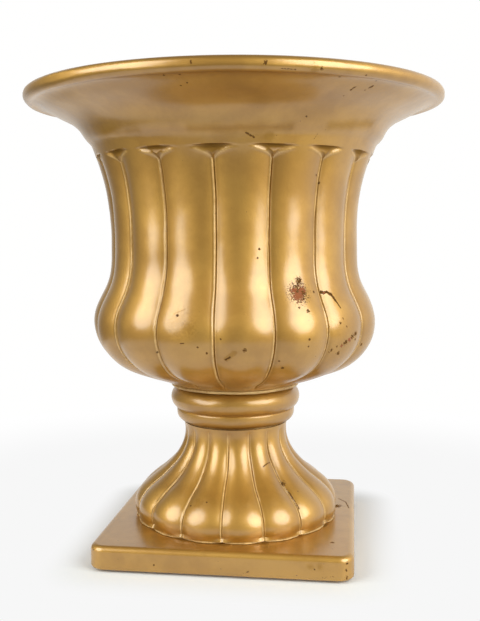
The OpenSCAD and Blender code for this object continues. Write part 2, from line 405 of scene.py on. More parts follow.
@dataclass(frozen=True)
class Fluting:
    """Convex flutes round the axis. A raised lip parts each pair, with a crease and a low lip on its right.

    Painted shade lies in the crease, beside the lip and on the flank, and a painted highlight on both lips.
    """

    depth: float
    count: int = 16
    columns: int = 30
    power: float = 2.15
    crowding: float = 0.82
    valley_depth: float = 0.4
    valley_width: float = 1.8
    lip_at: float = -0.9
    lip_lift: float = 1.0
    lip_width: float = 0.85
    low_lip_at: float = 1.2
    low_lip_share: float = 0.4
    crease_at: float = 0.3
    crease_depth: float = 0.6
    crease_width: float = 0.34
    lip_wave: float = 26
    lip_even: float = 0.8
    lip_uneven: float = 0.35
    crease_full: float = 1.2
    crease_shallow: float = 0.4
    # Strengths, places and widths of the painted shade by the seam: in the crease, beside the lip and on the
    # flank.
    seam_shade: float = 0.5
    seam_shade_off: float = 0.1
    seam_shade_width: float = 0.36
    lip_side_shade: float = 0.3
    lip_side_shade_off: float = 1.3
    lip_side_shade_width: float = 0.6
    flank_shade: float = 0.22
    flank_shade_at: float = 2.6
    flank_shade_width: float = 1.4
    # Widths and share of the painted highlight on the high lip and the low lip.
    lip_highlight_width: float = 0.7
    low_lip_highlight: float = 0.45
    low_lip_highlight_width: float = 0.4
    wander: float = 0.3
    wander_wave: float = 45
    seed: int = 3

    def crowd(self, points: Array) -> tuple[Array, Array]:
        """Draws the columns together at the seams.

        Args:
            points: Vertices of an evenly turned shell, in metres.

        Returns:
            The moved points, and each one's distance from the nearest seam as a share of the pitch,
            below zero on the seam's left as seen from outside.
        """
        pitch = TURN / self.count
        turn = np.arctan2(points[:, 1], points[:, 0]) / pitch
        flute = np.floor(turn + 1e-6)
        share = np.clip(turn - flute, 0, 1)
        share = share - self.crowding * np.sin(TURN * share) / TURN
        moved = turned(radii(points), (flute + share) * pitch, points[:, 2])
        return moved, np.where(share > 0.5, share - 1, share)

    def across(self, points: Array, share: Array) -> Array:
        """Returns the distance from the seam in mm, below zero on its left."""
        return share * TURN / self.count * radii(points) / MM

    def sunk(self, share: Array | float) -> Array | float:
        """Returns how far the rounding of a flute's back lies below its crown, in mm."""
        return self.depth * (1 - 2 * abs(share)) ** self.power

    def relief(self, points: Array, share: Array, strength: Array, trim: Array) -> Array:
        """Gives the height of the surface over a flute's back.

        Args:
            points: Vertices in metres.
            share: Signed share of the pitch, as crowd returns it.
            strength: How fully the flutes are formed at each vertex, from 0 to 1.
            trim: How fully the seam's lips and crease are formed there, from 0 to 1.

        Returns:
            Height along the outward normal, in mm, mostly below zero.
        """
        across = self.across(points, share)
        body = -self.sunk(share) - self.valley_depth * bump(across, 0, self.valley_width)
        uneven = self.lip_even + Ripple(self.seed, self.lip_wave, self.lip_uneven).at(points)
        lips = bump(across, self.lip_at, self.lip_width)
        low_lips = self.low_lip_share * bump(across, self.low_lip_at, self.lip_width)
        lips = (lips + low_lips) * self.lip_lift * uneven
        crease = self.crease_depth * bump(across, self.crease_at, self.crease_width)
        crease = crease * (self.crease_full - self.crease_shallow * uneven)
        return strength * (body + trim * (lips - crease))

    def marks(self, points: Array, share: Array) -> tuple[Array, Array]:
        """Finds where shade is painted by the seam and where a highlight is painted on the lips.

        Args:
            points: Vertices in metres.
            share: Signed share of the pitch, as crowd returns it.

        Returns:
            How much painted shade the crease and its sides get, and how much painted highlight the lips get,
            from 0 to 1.
        """
        across = self.across(points, share)
        seam_shade = (self.seam_shade * bump(across, self.crease_at + self.seam_shade_off, self.seam_shade_width)
                + self.lip_side_shade * bump(across, self.lip_at - self.lip_side_shade_off, self.lip_side_shade_width)
                + self.flank_shade * bump(across, self.flank_shade_at, self.flank_shade_width))
        # worn: the painted highlight on both lips.
        worn = (bump(across, self.lip_at, self.lip_highlight_width)
                + self.low_lip_highlight * bump(across, self.low_lip_at, self.low_lip_highlight_width))
        return np.clip(seam_shade, 0, 1), np.clip(worn, 0, 1)

    def stray(self, points: Array) -> Array:
        """Lets the seams wander a little sideways, as cast ones do.

        Args:
            points: Vertices in metres.

        Returns:
            The moved points.
        """
        radius = radii(points)
        shift = self.wander * MM * Ripple(self.seed + 1, self.wander_wave).at(points)
        angle = np.arctan2(points[:, 1], points[:, 0]) + shift / np.maximum(radius, 1e-6)
        return turned(np.maximum(radius, 1e-6), angle, points[:, 2])


BOWL_FLUTES = Fluting(depth=4.1)
FOOT_FLUTES = Fluting(
    depth=3.0, columns=26, valley_depth=0.3, valley_width=1.2, lip_at=-0.6, lip_lift=0.85, lip_width=0.65,
    low_lip_at=0.95, crease_at=0.3, crease_depth=0.5, crease_width=0.32, seed=31)
ROWS_AT_ONCE = 20000


def along_normals(line: Line, points: Array) -> tuple[Array, Array]:
    """Finds each vertex's row on its section and that row's outward normal.

    Args:
        line: The section the shell was turned from, in mm.
        points: Vertices of the shell, in metres.

    Returns:
        Row numbers, and the normal's radial and upright parts.
    """
    section = np.array(line)
    place = np.column_stack([radii(points), points[:, 2]]) / MM
    rows = np.empty(len(place), int)
    for start in range(0, len(place), ROWS_AT_ONCE):
        part = place[start:start + ROWS_AT_ONCE]
        rows[start:start + ROWS_AT_ONCE] = ((part[:, None, :] - section[None]) ** 2).sum(2).argmin(1)
    tangent = np.roll(section, -1, 0) - np.roll(section, 1, 0)
    tangent /= np.maximum(np.linalg.norm(tangent, axis=1), 1e-9)[:, None]
    return rows, np.column_stack([tangent[:, 1], -tangent[:, 0]])[rows]


def push(points: Array, normal: Array, height: Array) -> Array:
    """Moves points along their normals.

    Args:
        points: Vertices in metres.
        normal: Radial and upright part of each normal.
        height: How far each one goes, in mm.

    Returns:
        The moved points.
    """
    radius = np.maximum(radii(points), 1e-9)
    scale = (radius + normal[:, 0] * height * MM) / radius
    x, y, z = points.T
    return np.column_stack([x * scale, y * scale, z + normal[:, 1] * height * MM])


def push_out(points: Array, height: Array) -> Array:
    """Moves points straight away from the axis, by a height in mm."""
    return push(points, np.tile((1.0, 0.0), (len(points), 1)), height)


# The castings

@dataclass(frozen=True)
class Bowl:
    """The fluted bowl with its plain band, flare and rolled lip.

    A flute's seam ends under the band in a web, where it turns out into two arms with a slit over them; web
    and slit get painted shade, the arms a painted highlight.
    """

    rim_r: float = 182.5
    rim_zone: float = 2.5
    rim_clear: float = 0.05
    lip_r: float = 5.5
    lip_lean: float = 75
    lip_from: float = -115
    lip_points: int = 20
    lip_uneven_points: int = 14
    crease_out: float = 1.0
    crease_up: float = 0.4
    edge_in: float = 20
    edge_down: float = 15.3
    shoulder_r: float = 132.5
    shoulder_down: float = 38
    shoulder_out: float = 1.0
    shoulder_up: float = 2.4
    ledge_in: float = 3.1
    ledge_down: float = 4
    band_h: float = 18
    band_out: float = 3.8
    band_up: float = 0.8
    top_r: float = 121.8
    waist_r: float = 110.5
    waist_h: float = 118.5
    rise_in: float = 2.5
    rise_down: float = 1
    belly_r: float = 127
    belly_h: float = 56.5
    tuck_r: float = 97.5
    tuck_h: float = 14
    seat_r: float = 58
    wall: float = 12
    floor_r: float = 74
    floor_t: float = 20
    spigot_r: float = 35
    well_r: float = 18
    well_deep: float = 14
    well_chamfer: float = 0.8
    tube_hole_r: float = 7.5
    close_below: float = 11
    close_above: float = 4
    close_rows: float = 0.7
    body_rows: float = 3.0
    flare_rows: float = 2.2
    inside_rows: float = 8
    pocket_half: float = 17.5
    pocket_ragged: float = 2.0
    pocket_tall: float = 3.6
    pocket_deep: float = 2.3
    pocket_ripple: Ripple = Ripple(19, 30)
    ceiling_up: float = 1.2
    ceiling_ragged: float = 0.4
    ceiling: Slope = Slope(-0.2, 1.0)
    slit: Slope = Slope(-1.6, 1.8)
    # How much painted shade the slit gets.
    slit_shade: float = 0.35
    web: Slope = Slope(-1.2, 4.0)
    # How much painted shade the web gets.
    web_deep: float = 0.9
    web_shade: float = 0.6
    arm_drop: float = 7
    arm_turn: float = 4.5
    arm_lift: float = 0.7
    arm_under: float = 0.5
    arm_width: float = 0.8
    # How much painted highlight the arms get.
    arm_highlight: float = 1.1
    arm_starts: Slope = Slope(0.5, 1.6)
    arm_ends: Slope = Slope(0, 0.35)
    seam_ends: Slope = Slope(-1.5, 0.3)
    flutes_start: Slope = Slope(0, 14)
    flutes_end: Slope = Slope(0.6, 1.6)
    uneven_from: Slope = Slope(0, 10)
    ripples: tuple[Ripple, ...] = (Ripple(5, 95, 0.35), Ripple(6, 32, 0.15), Ripple(7, 14, 0.05))
    ledge_ripple: Ripple = Ripple(9, 70)
    ledge_uneven: float = 0.45
    ledge_width: float = 4.5
    side_of_lip: float = 4
    spots_over_lip: float = 3
    fluting: Fluting = BOWL_FLUTES

    @property
    def seat_z(self) -> float:
        """Height of the bowl's seat on its bed."""
        return top_of("bowl_bed")

    @property
    def rim_z(self) -> float:
        """Height of the lip's top."""
        return top_of("bowl")

    @property
    def flutes_z(self) -> float:
        """Height at which the flutes end under the band."""
        return self.rim_z - self.shoulder_down - self.band_h

    def stations(self) -> dict[str, Station]:
        """Places the stations of the outer outline.

        Returns:
            The stations by name, from the seat up.
        """
        low, top = self.seat_z, self.flutes_z
        band_top = top + self.band_h
        lip = (self.rim_r - self.lip_r, self.rim_z - self.lip_r)
        rise_r = (self.belly_r + self.waist_r) / 2 - self.rise_in
        rise_z = low + (self.belly_h + self.waist_h) / 2 - self.rise_down
        return {
            "seat": Station(self.seat_r, low, lean=70),
            "tuck": Station(self.tuck_r, low + self.tuck_h, lean=66),
            "belly": Station(self.belly_r, low + self.belly_h, lean=0),
            "rise": Station(rise_r, rise_z, lean=-26),
            "waist": Station(self.waist_r, low + self.waist_h, lean=0),
            "top": Station(self.top_r, top, lean=22),
            "band": Station(self.top_r + self.band_out, top + self.band_h / 2 + self.band_up, lean=24),
            "ledge": Station(self.shoulder_r - self.ledge_in, band_top - self.ledge_down, lean=43),
            "shoulder": Station(self.shoulder_r + self.shoulder_out, band_top + self.shoulder_up, lean=28),
            "edge": Station(self.rim_r - self.edge_in, self.rim_z - self.edge_down, lean=60),
            "crease": Station(
                lip[0] - self.lip_r + self.crease_out, lip[1] - self.lip_r + self.crease_up, lean=78),
        }

    def spacing(self, z: float) -> float:
        """Chooses the distance between rows: close where the flutes end, wide on plain parts.

        Args:
            z: Height in mm.

        Returns:
            The distance in mm.
        """
        over = z - self.flutes_z
        if -self.close_below < over < self.close_above:
            return self.close_rows
        return self.body_rows if over < 0 else self.flare_rows

    def underside(self) -> Line:
        """Returns the line under the bowl, from the tube's hole to the seat."""
        under = foot_of("bowl")
        return [(self.tube_hole_r, under), (self.spigot_r, under), (self.spigot_r, self.seat_z)]

    def outer(self) -> Line:
        """Returns the outer line from the seat to the foot of the lip."""
        return Outline(tuple(self.stations().values())).spaced(self.spacing)

    def lip(self) -> Line:
        """Returns the rolled lip, from its crease over the edge to the inside."""
        angles = np.radians(np.linspace(self.lip_from, 180 - self.lip_lean, self.lip_points))
        return on_circle((self.rim_r - self.lip_r, self.rim_z - self.lip_r), self.lip_r, angles)

    def inner(self) -> Line:
        """Draws the inside, one wall from the outside.

        Returns:
            The line from the lip down to the flat floor.
        """
        s = self.stations()
        passed = [Station(self.floor_r, self.seat_z + self.floor_t, lean=90)]
        passed += [s[name].inset(self.wall) for name in ("tuck", "belly", "rise", "waist", "top", "shoulder")]
        passed.append(Station(*self.lip()[-1], self.lip_lean))
        return Outline(tuple(passed)).spaced(lambda z: self.inside_rows)[::-1][1:]

    def well(self) -> Line:
        """Draws the well in the floor, which takes the tube's upper fasteners.

        Returns:
            The line from the floor down to the tube's hole.
        """
        floor = self.seat_z + self.floor_t
        base = floor - self.well_deep
        return [(self.well_r + self.well_chamfer, floor), (self.well_r, floor - self.well_chamfer),
                (self.well_r, base), (self.tube_hole_r, base)]

    def section(self) -> Line:
        """Returns the whole closed section."""
        return self.underside() + self.outer() + self.lip() + self.inner() + self.well()

    def pockets(self, points: Array, share: Array) -> tuple[Array, ...]:
        """Shapes the web over each seam, with its arms, and the slit under the band.

        Args:
            points: Vertices in metres.
            share: Signed share of the pitch, as crowd returns it.

        Returns:
            How far each vertex is in the web, how far in the slit, the lift of the arms,
            and how much of the straight seam is left.
        """
        across = np.abs(self.fluting.across(points, share))
        uneven = self.pocket_ripple.at(points)
        reach = np.clip(1 - (across / (self.pocket_half + self.pocket_ragged * uneven)) ** 2, 0, 1)
        ceiling = self.flutes_z + self.ceiling_up + self.ceiling_ragged * uneven
        sill = ceiling - self.pocket_tall * reach
        arm = sill - self.arm_drop * np.exp(-across / self.arm_turn)
        z = points[:, 2] / MM
        under = 1 - self.ceiling.over(z, ceiling)
        web = self.web.over(z, arm) * under * np.sqrt(reach)
        slit = self.slit.over(z, sill) * under * np.sqrt(reach)
        lift = self.arm_lift * bump(z, arm - self.arm_under, self.arm_width)
        lift = lift * self.arm_ends.over(reach, 0) * self.arm_starts.over(across, 0)
        return web, slit, lift, 1 - self.seam_ends.over(z, arm)

    def uneven(self, points: Array) -> Array:
        """Returns the casting's unevenness in mm, strongest along the ledge."""
        along = bump(points[:, 2] / MM, self.stations()["ledge"].z, self.ledge_width)
        return rippled(self.ripples, points) + self.ledge_uneven * along * self.ledge_ripple.at(points)

    def build(self) -> Piece:
        """Models the bowl.

        Returns:
            The finished bowl, with its crevices and ridges marked.
        """
        section = self.section()
        bowl = Bench.turn("Bowl", section, self.fluting.count * self.fluting.columns)
        points = Bench.points(bowl)
        rows, normal = along_normals(section, points)
        first = len(self.underside())
        last = first + len(self.outer()) - 1
        outside = (rows >= first) & (rows <= last)
        shell = (rows >= first) & (rows <= last + self.lip_uneven_points)
        points, share = self.fluting.crowd(points)
        z, radius = points[:, 2] / MM, radii(points) / MM
        formed = outside * self.flutes_start.over(radius, self.seat_r) * np.minimum(1, radius / self.waist_r)
        formed = formed * (1 - self.flutes_end.over(z, self.flutes_z))
        web, slit, lift, trim = self.pockets(points, share)
        web, slit = web * outside, slit * outside
        height = self.fluting.relief(points, share, formed, trim) * (1 - web)
        height = height - self.web_deep * web - (self.pocket_deep - self.web_deep) * slit
        height = height + lift * outside * (1 - web)
        height = height + self.uneven(points) * shell * self.uneven_from.over(radius, self.seat_r)
        inside_rim = np.minimum(height, self.rim_r - self.rim_clear - radius)
        height = np.where(radius > self.rim_r - self.rim_zone, inside_rim, height)
        # Painted shade by the seams and in the pockets, and the painted highlight on the lips and arms.
        seam_shade, worn = self.fluting.marks(points, share)
        Bench.mark(bowl, formed * trim * seam_shade + self.web_shade * web + self.slit_shade * slit,
                   formed * trim * worn + self.arm_highlight * lift * outside * (1 - slit))
        points = push(points, normal, height)
        points[:, 2] = np.minimum(points[:, 2], self.rim_z * MM)
        Bench.place(bowl, self.fluting.stray(points))
        Bench.finish(bowl, ["bowl"], "gold_lacquer_bowl")
        return bowl

    @cache
    def profile(self) -> Line:
        """Returns the outside from the seat to the lip's widest place, rising all the way."""
        side = [p for p in self.lip() if p[0] > self.rim_r - self.side_of_lip]
        return [p for p in self.outer() if p[1] > self.seat_z] + side

    def spot(self, bearing: float, z: float) -> Vector:
        """Finds a place on the bowl's outside.

        Args:
            bearing: Degrees from the front towards +X.
            z: Height in mm.

        Returns:
            The place in metres.
        """
        line = [p for p in self.profile() if p[1] <= self.rim_z - self.lip_r + self.spots_over_lip]
        r = float(np.interp(z, [p[1] for p in line], [p[0] for p in line]))
        if z < self.flutes_z:
            turn = (bearing * self.fluting.count / 360) % 1
            r -= self.fluting.sunk(min(turn, 1 - turn)) * min(1, r / self.waist_r)
        return around(bearing, r, z)


def around(bearing: float, r: float, z: float) -> Vector:
    """Returns the place at a bearing in degrees from the front towards +X, with r and z in mm."""
    a = math.radians(bearing)
    return Vector((r * math.sin(a), -r * math.cos(a), z)) * MM


@dataclass(frozen=True)
class Collar:
    """The large roll over the small one, between bowl and foot. The lower is straighter over its middle."""

    upper_r: float = 58.5
    upper_roll: float = 11.5
    upper_points: int = 26
    upper_gap: float = 0.06
    lower_r: float = 53.5
    lower_roll: float = 8.5
    lower_points: int = 18
    lower_gap: float = 0.08
    upright: float = 0.15
    notch_out: float = 0.2
    bore_r: float = 35.5
    columns: int = 160
    skin: Slope = Slope(4, 12)
    ripples: tuple[Ripple, ...] = (Ripple(21, 42, 0.35), Ripple(22, 14, 0.1))
    # Painted shade in the groove between the rolls, along the foot and under the top edge.
    groove_down: float = 2
    groove_width: float = 1.4
    groove_in: float = 3
    groove_shade: float = 0.8
    foot_shade: float = 0.75
    foot_edge: Slope = Slope(1, 4.5)
    top_shade: float = 0.5
    top_edge: Slope = Slope(-2.2, -0.4)

    def section(self) -> Line:
        """Draws the two rolls and the notch where they meet.

        Returns:
            The closed section, from the lower inner edge outwards and up.
        """
        low, high = span("collar")
        up = (self.upper_r - self.upper_roll, high - self.upper_roll)
        down = (self.lower_r - self.lower_roll, low + self.lower_roll)
        apart = math.dist(up, down)
        cosine = (self.upper_roll**2 + apart**2 - self.lower_roll**2) / (2 * self.upper_roll * apart)
        away = math.atan2(down[1] - up[1], down[0] - up[0]) + math.acos(max(-1.0, min(1.0, cosine)))
        notch = on_circle(up, self.upper_roll, [away])[0]
        rise = math.atan2(notch[1] - down[1], notch[0] - down[0])
        lower = [(down[0] + self.lower_roll * math.cos(a if a < 0 else a * self.upright),
                  down[1] + self.lower_roll * math.sin(a))
                 for a in np.linspace(-QUARTER, rise - self.lower_gap, self.lower_points)]
        upper = on_circle(up, self.upper_roll, np.linspace(away + self.upper_gap, QUARTER, self.upper_points))
        middle = (notch[0] + self.notch_out, notch[1])
        return [(self.bore_r, low), *lower, middle, *upper, (self.bore_r, high)]

    def build(self) -> Piece:
        """Models the collar.

        Returns:
            The finished collar, with painted shade stored in its groove and along its lower and upper edges.
        """
        low, high = span("collar")
        section = self.section()
        collar = Bench.turn("Collar", section, self.columns)
        points = Bench.points(collar)
        _, normal = along_normals(section, points)
        z, radius = points[:, 2] / MM, radii(points) / MM
        # Painted shade in the groove, along the foot and at the top edge.
        groove = bump(z, low + 2 * self.lower_roll - self.groove_down, self.groove_width)
        Bench.mark(collar, self.groove_shade * groove * (radius < self.upper_r - self.groove_in)
                   + self.foot_shade * (1 - self.foot_edge.over(z, low))
                   + self.top_shade * self.top_edge.over(z, high))
        moved = push(points, normal, self.skin.over(radius, self.bore_r) * rippled(self.ripples, points))
        moved[:, 2] = np.clip(moved[:, 2], low * MM, high * MM)
        Bench.place(collar, moved)
        Bench.finish(collar, ["collar"], "gold_lacquer", angle=60)
        return collar


@dataclass(frozen=True)
class Foot:
    """The fluted trumpet that carries the collar, with a scalloped lower edge.

    The flutes start quickly under the neck and reach their full depth over a longer stretch.
    """

    base_r: float = 91
    swell_r: float = 93
    swell_h: float = 8
    flank_out: float = 4.5
    flank_down: float = 7.5
    neck_r: float = 46.5
    neck_h: float = 7
    neck_flare: float = 0.5
    hollow_r: float = 78
    wall: float = 12
    bore_r: float = 26
    spigot_r: float = 35
    spigot_h: float = 10
    outside_rows: float = 1.9
    inside_rows: float = 6
    quick_share: float = 0.4
    quick_start: Slope = Slope(0.5, 6)
    slow_share: float = 0.6
    slow_start: Slope = Slope(2, 26)
    skin: Slope = Slope(0, 8)
    ripples: tuple[Ripple, ...] = (Ripple(33, 60, 0.3), Ripple(34, 18, 0.08))
    flat: float = 0.01
    fluting: Fluting = FOOT_FLUTES

    def stations(self) -> list[Station]:
        """Places the stations of the outer outline.

        Returns:
            The stations from the bed up.
        """
        low, top = top_of("foot_bed"), foot_of("neck_bed")
        flank_r = (self.swell_r + self.neck_r) / 2 + self.flank_out
        return [
            Station(self.base_r, low, lean=25),
            Station(self.swell_r, low + self.swell_h, lean=0),
            Station(flank_r, (low + top) / 2 - self.flank_down, lean=-54),
            Station(self.neck_r, top - self.neck_h, lean=0),
            Station(self.neck_r + self.neck_flare, top, lean=6),
        ]

    def outer(self) -> Line:
        """Returns the outer line from the bed to the neck."""
        return Outline(tuple(self.stations())).spaced(lambda z: self.outside_rows)

    def section(self) -> Line:
        """Draws the shell with its spigot and its hollow.

        Returns:
            The whole closed section.
        """
        base, swell, flank, _, neck = self.stations()
        top, tip = neck.z, neck.z + self.spigot_h
        hollow = Outline((
            Station(self.hollow_r, base.z, lean=0), swell.inset(self.wall), flank.inset(self.wall),
            Station(self.bore_r, top - self.neck_h, lean=0))).spaced(lambda z: self.inside_rows)
        return self.outer() + [(self.spigot_r, top), (self.spigot_r, tip), (self.bore_r, tip)] + hollow[::-1]

    def build(self) -> Piece:
        """Models the foot.

        Returns:
            The finished foot, with its painted shade and painted highlight stored on the vertices.
        """
        low, top = top_of("foot_bed"), foot_of("neck_bed")
        section = self.section()
        foot = Bench.turn("Foot", section, self.fluting.count * self.fluting.columns)
        points = Bench.points(foot)
        rows, normal = along_normals(section, points)
        outside = rows < len(self.outer())
        points, share = self.fluting.crowd(points)
        down = top - points[:, 2] / MM
        formed = outside * (self.quick_share * self.quick_start.over(down, 0)
                            + self.slow_share * self.slow_start.over(down, 0))
        height = self.fluting.relief(points, share, formed, formed)
        height = height + outside * self.skin.over(down, 0) * rippled(self.ripples, points)
        # Painted shade by the seams, and the painted highlight on the lips.
        seam_shade, worn = self.fluting.marks(points, share)
        Bench.mark(foot, formed * seam_shade, formed * worn)
        moved = push(points, normal, height)
        on_bed = points[:, 2] / MM < low + self.flat
        moved[:, 2] = np.where(on_bed, points[:, 2], np.maximum(moved[:, 2], low * MM))
        Bench.place(foot, self.fluting.stray(moved))
        Bench.finish(foot, ["foot"], "gold_lacquer")
        return foot


@dataclass(frozen=True)
class Plinth:
    """The square slab under the foot, with soft edges, a recess below and a ring that centres the foot."""

    side: float = 218
    corner_r: float = 13
    corner_faces: int = 10
    edge_r: float = 5
    foot_edge_r: float = 2.5
    edge_faces: int = 8
    deck_t: float = 8
    recess: float = 140
    cutter_h: float = 20
    ring_r: float = 77.5
    ring_t: float = 6
    ring_h: float = 5
    ring_columns: int = 96
    overlap: float = 1
    tube_hole_r: float = 7.5
    tube_hole_h: float = 60
    tube_hole_faces: int = 48
    upright_least: float = 1
    same_height: float = 0.1
    crisp_weight: int = 100

    def bevel_where(self, test: Callable[[Vector, Vector], bool], offset: float, segments: int) -> None:
        """Bevels the edges whose ends pass a test, in edit mode.

        Args:
            test: Tells from an edge's two ends, in mm, whether it is rounded.
            offset: Radius of the rounding, in mm.
            segments: Faces across the rounding.
        """
        obj = bpy.context.object
        bpy.ops.object.mode_set(mode="OBJECT")
        for part in (obj.data.vertices, obj.data.edges, obj.data.polygons):
            for item in part:
                item.select = False
        for edge in obj.data.edges:
            a, b = (obj.matrix_world @ obj.data.vertices[i].co / MM for i in edge.vertices)
            edge.select = test(a, b)
        bpy.context.tool_settings.mesh_select_mode = (False, True, False)
        bpy.ops.object.mode_set(mode="EDIT")
        bpy.ops.mesh.bevel(offset=offset * MM, segments=segments, profile=0.5, affect="EDGES",
                           clamp_overlap=False)

    def slab(self, low: float, high: float) -> Piece:
        """Models the slab with its round corners and soft edges.

        Args:
            low: Height of its underside, in mm.
            high: Height of its top, in mm.

        Returns:
            The slab.
        """
        slab = Bench.block((self.side, self.side, high - low), (low + high) / 2)
        slab.name = slab.data.name = "Plinth"
        bpy.ops.object.transform_apply(location=True, rotation=True, scale=True)
        bpy.ops.object.mode_set(mode="EDIT")
        self.bevel_where(lambda a, b: abs(a.z - b.z) > self.upright_least, self.corner_r, self.corner_faces)
        for z, soft in ((low, self.foot_edge_r), (high, self.edge_r)):
            self.bevel_where(lambda a, b: max(abs(a.z - z), abs(b.z - z)) < self.same_height,
                             soft, self.edge_faces)
        bpy.ops.object.mode_set(mode="OBJECT")
        return slab

    def build(self) -> Piece:
        """Models the plinth.

        Returns:
            The finished slab.
        """
        low, high = foot_of("plinth"), foot_of("foot_bed")
        plinth = self.slab(low, high)
        deck = high - self.deck_t
        Bench.carve(plinth, Bench.block((self.recess, self.recess, self.cutter_h), deck - self.cutter_h / 2))
        inner, base, tip = self.ring_r - self.ring_t, high - self.overlap, high + self.ring_h
        ring = [(inner, base), (self.ring_r, base), (self.ring_r, tip), (inner, tip)]
        Bench.carve(plinth, Bench.turn("ring", ring, self.ring_columns), "UNION")
        Bench.clear()
        bpy.ops.mesh.primitive_cylinder_add(vertices=self.tube_hole_faces, radius=self.tube_hole_r * MM,
                                            depth=self.tube_hole_h * MM, location=(0, 0, high * MM))
        Bench.carve(plinth, bpy.context.object)
        Bench.finish(plinth, ["plinth"], "gold_lacquer", angle=30)
        Bench.pick(plinth)
        weights = plinth.modifiers.new("even shading", "WEIGHTED_NORMAL")
        weights.keep_sharp, weights.weight = True, self.crisp_weight
        bpy.ops.object.modifier_apply(modifier=weights.name)
        return plinth


@dataclass(frozen=True)
class JointBeads:
    """The irregular beads of joint compound between the castings. The upper one droops on its left."""

    seat_r: float = 58
    bore_r: float = 35.5
    neck_r: float = 45
    foot_r: float = 91
    foot_bore_r: float = 78
    round_from: float = 3
    round_points: int = 11
    upper_in: float = 1.0
    upper_swell: float = 1.3
    upper_sag: float = 0.8
    upper_edge: Slope = Slope(-1.5, 0.6)
    upper_ripples: tuple[Ripple, ...] = (Ripple(41, 22), Ripple(42, 8, 0.5))
    upper_ragged: float = 0.75
    upper_bulge: float = 0.5
    droop: float = 1.0
    droop_left: Slope = Slope(25, 55)
    neck_swell: float = 0.5
    lower_in: float = 0.2
    lower_swell: float = 1.4
    lower_edge: Slope = Slope(-5, -1)
    lower_ripples: tuple[Ripple, ...] = (Ripple(43, 14), Ripple(44, 5, 0.7))
    lower_ragged: float = 0.45
    fluting: Fluting = replace(FOOT_FLUTES, lip_lift=0, crease_depth=0)

    def ring(self, name: str, node: str, inner: float, outer: float, swell: float,
             sag: float = 0.0) -> Piece:
        """Turns a flat ring with a rounded outer edge.

        Args:
            name: The new object's name.
            node: The bed's node, which gives its heights.
            inner: Inner radius in mm.
            outer: Outer radius in mm, where the rounding starts.
            swell: How far the rounding stands out, in mm.
            sag: How far it hangs below the bed, in mm.

        Returns:
            The ring.
        """
        low, high = span(node)
        mid, half = (low + high) / 2, (high - low) / 2
        edge = [(outer + swell * math.cos(a),
                 mid + half * math.sin(a) - (sag if a < 0 else 0) * math.sin(-a) ** 2)
                for a in np.linspace(-QUARTER, QUARTER, self.round_points)]
        flat = outer - self.round_from
        line = [(inner, low), (flat, low), *edge, (flat, high), (inner, high)]
        return Bench.turn(name, line, self.fluting.count * self.fluting.columns)

    def upper(self) -> Piece:
        """Models the bead under the bowl.

        Returns:
            The ragged ring.
        """
        bead = self.ring("BowlBead", "bowl_bed", self.bore_r, self.seat_r - self.upper_in, self.upper_swell,
                         self.upper_sag)
        points = Bench.points(bead)
        edge = self.upper_edge.over(radii(points) / MM, self.seat_r)
        left = self.droop_left.over(-points[:, 0] / MM, 0)
        ragged = rippled(self.upper_ripples, points)
        points[:, 2] += edge * (self.upper_ragged * ragged - self.droop * left) * MM
        Bench.place(bead, push_out(points, edge * self.upper_bulge * ragged))
        return bead

    def lower(self) -> Piece:
        """Models the bead round the foot, which follows its scallops.

        Returns:
            The ragged ring.
        """
        bead = self.ring("FootBead", "foot_bed", self.foot_bore_r, self.foot_r - self.lower_in,
                         self.lower_swell)
        points, share = self.fluting.crowd(Bench.points(bead))
        edge = self.lower_edge.over(radii(points) / MM, self.foot_r)
        scallop = self.fluting.relief(points, np.abs(share), np.ones(len(points)), edge)
        ragged = self.lower_ragged * rippled(self.lower_ripples, points)
        Bench.place(bead, push_out(points, edge * (scallop + ragged)))
        return bead

    def build(self) -> list[Piece]:
        """Models the three beads.

        Returns:
            The finished rings, from the top down.
        """
        upper = self.upper()
        neck = self.ring("NeckBead", "neck_bed", self.bore_r, self.neck_r, self.neck_swell)
        beads = [upper, neck, self.lower()]
        for bead, node in zip(beads, ("bowl_bed", "neck_bed", "foot_bed")):
            Bench.finish(bead, [node], "joint_mortar", angle=60)
        return beads


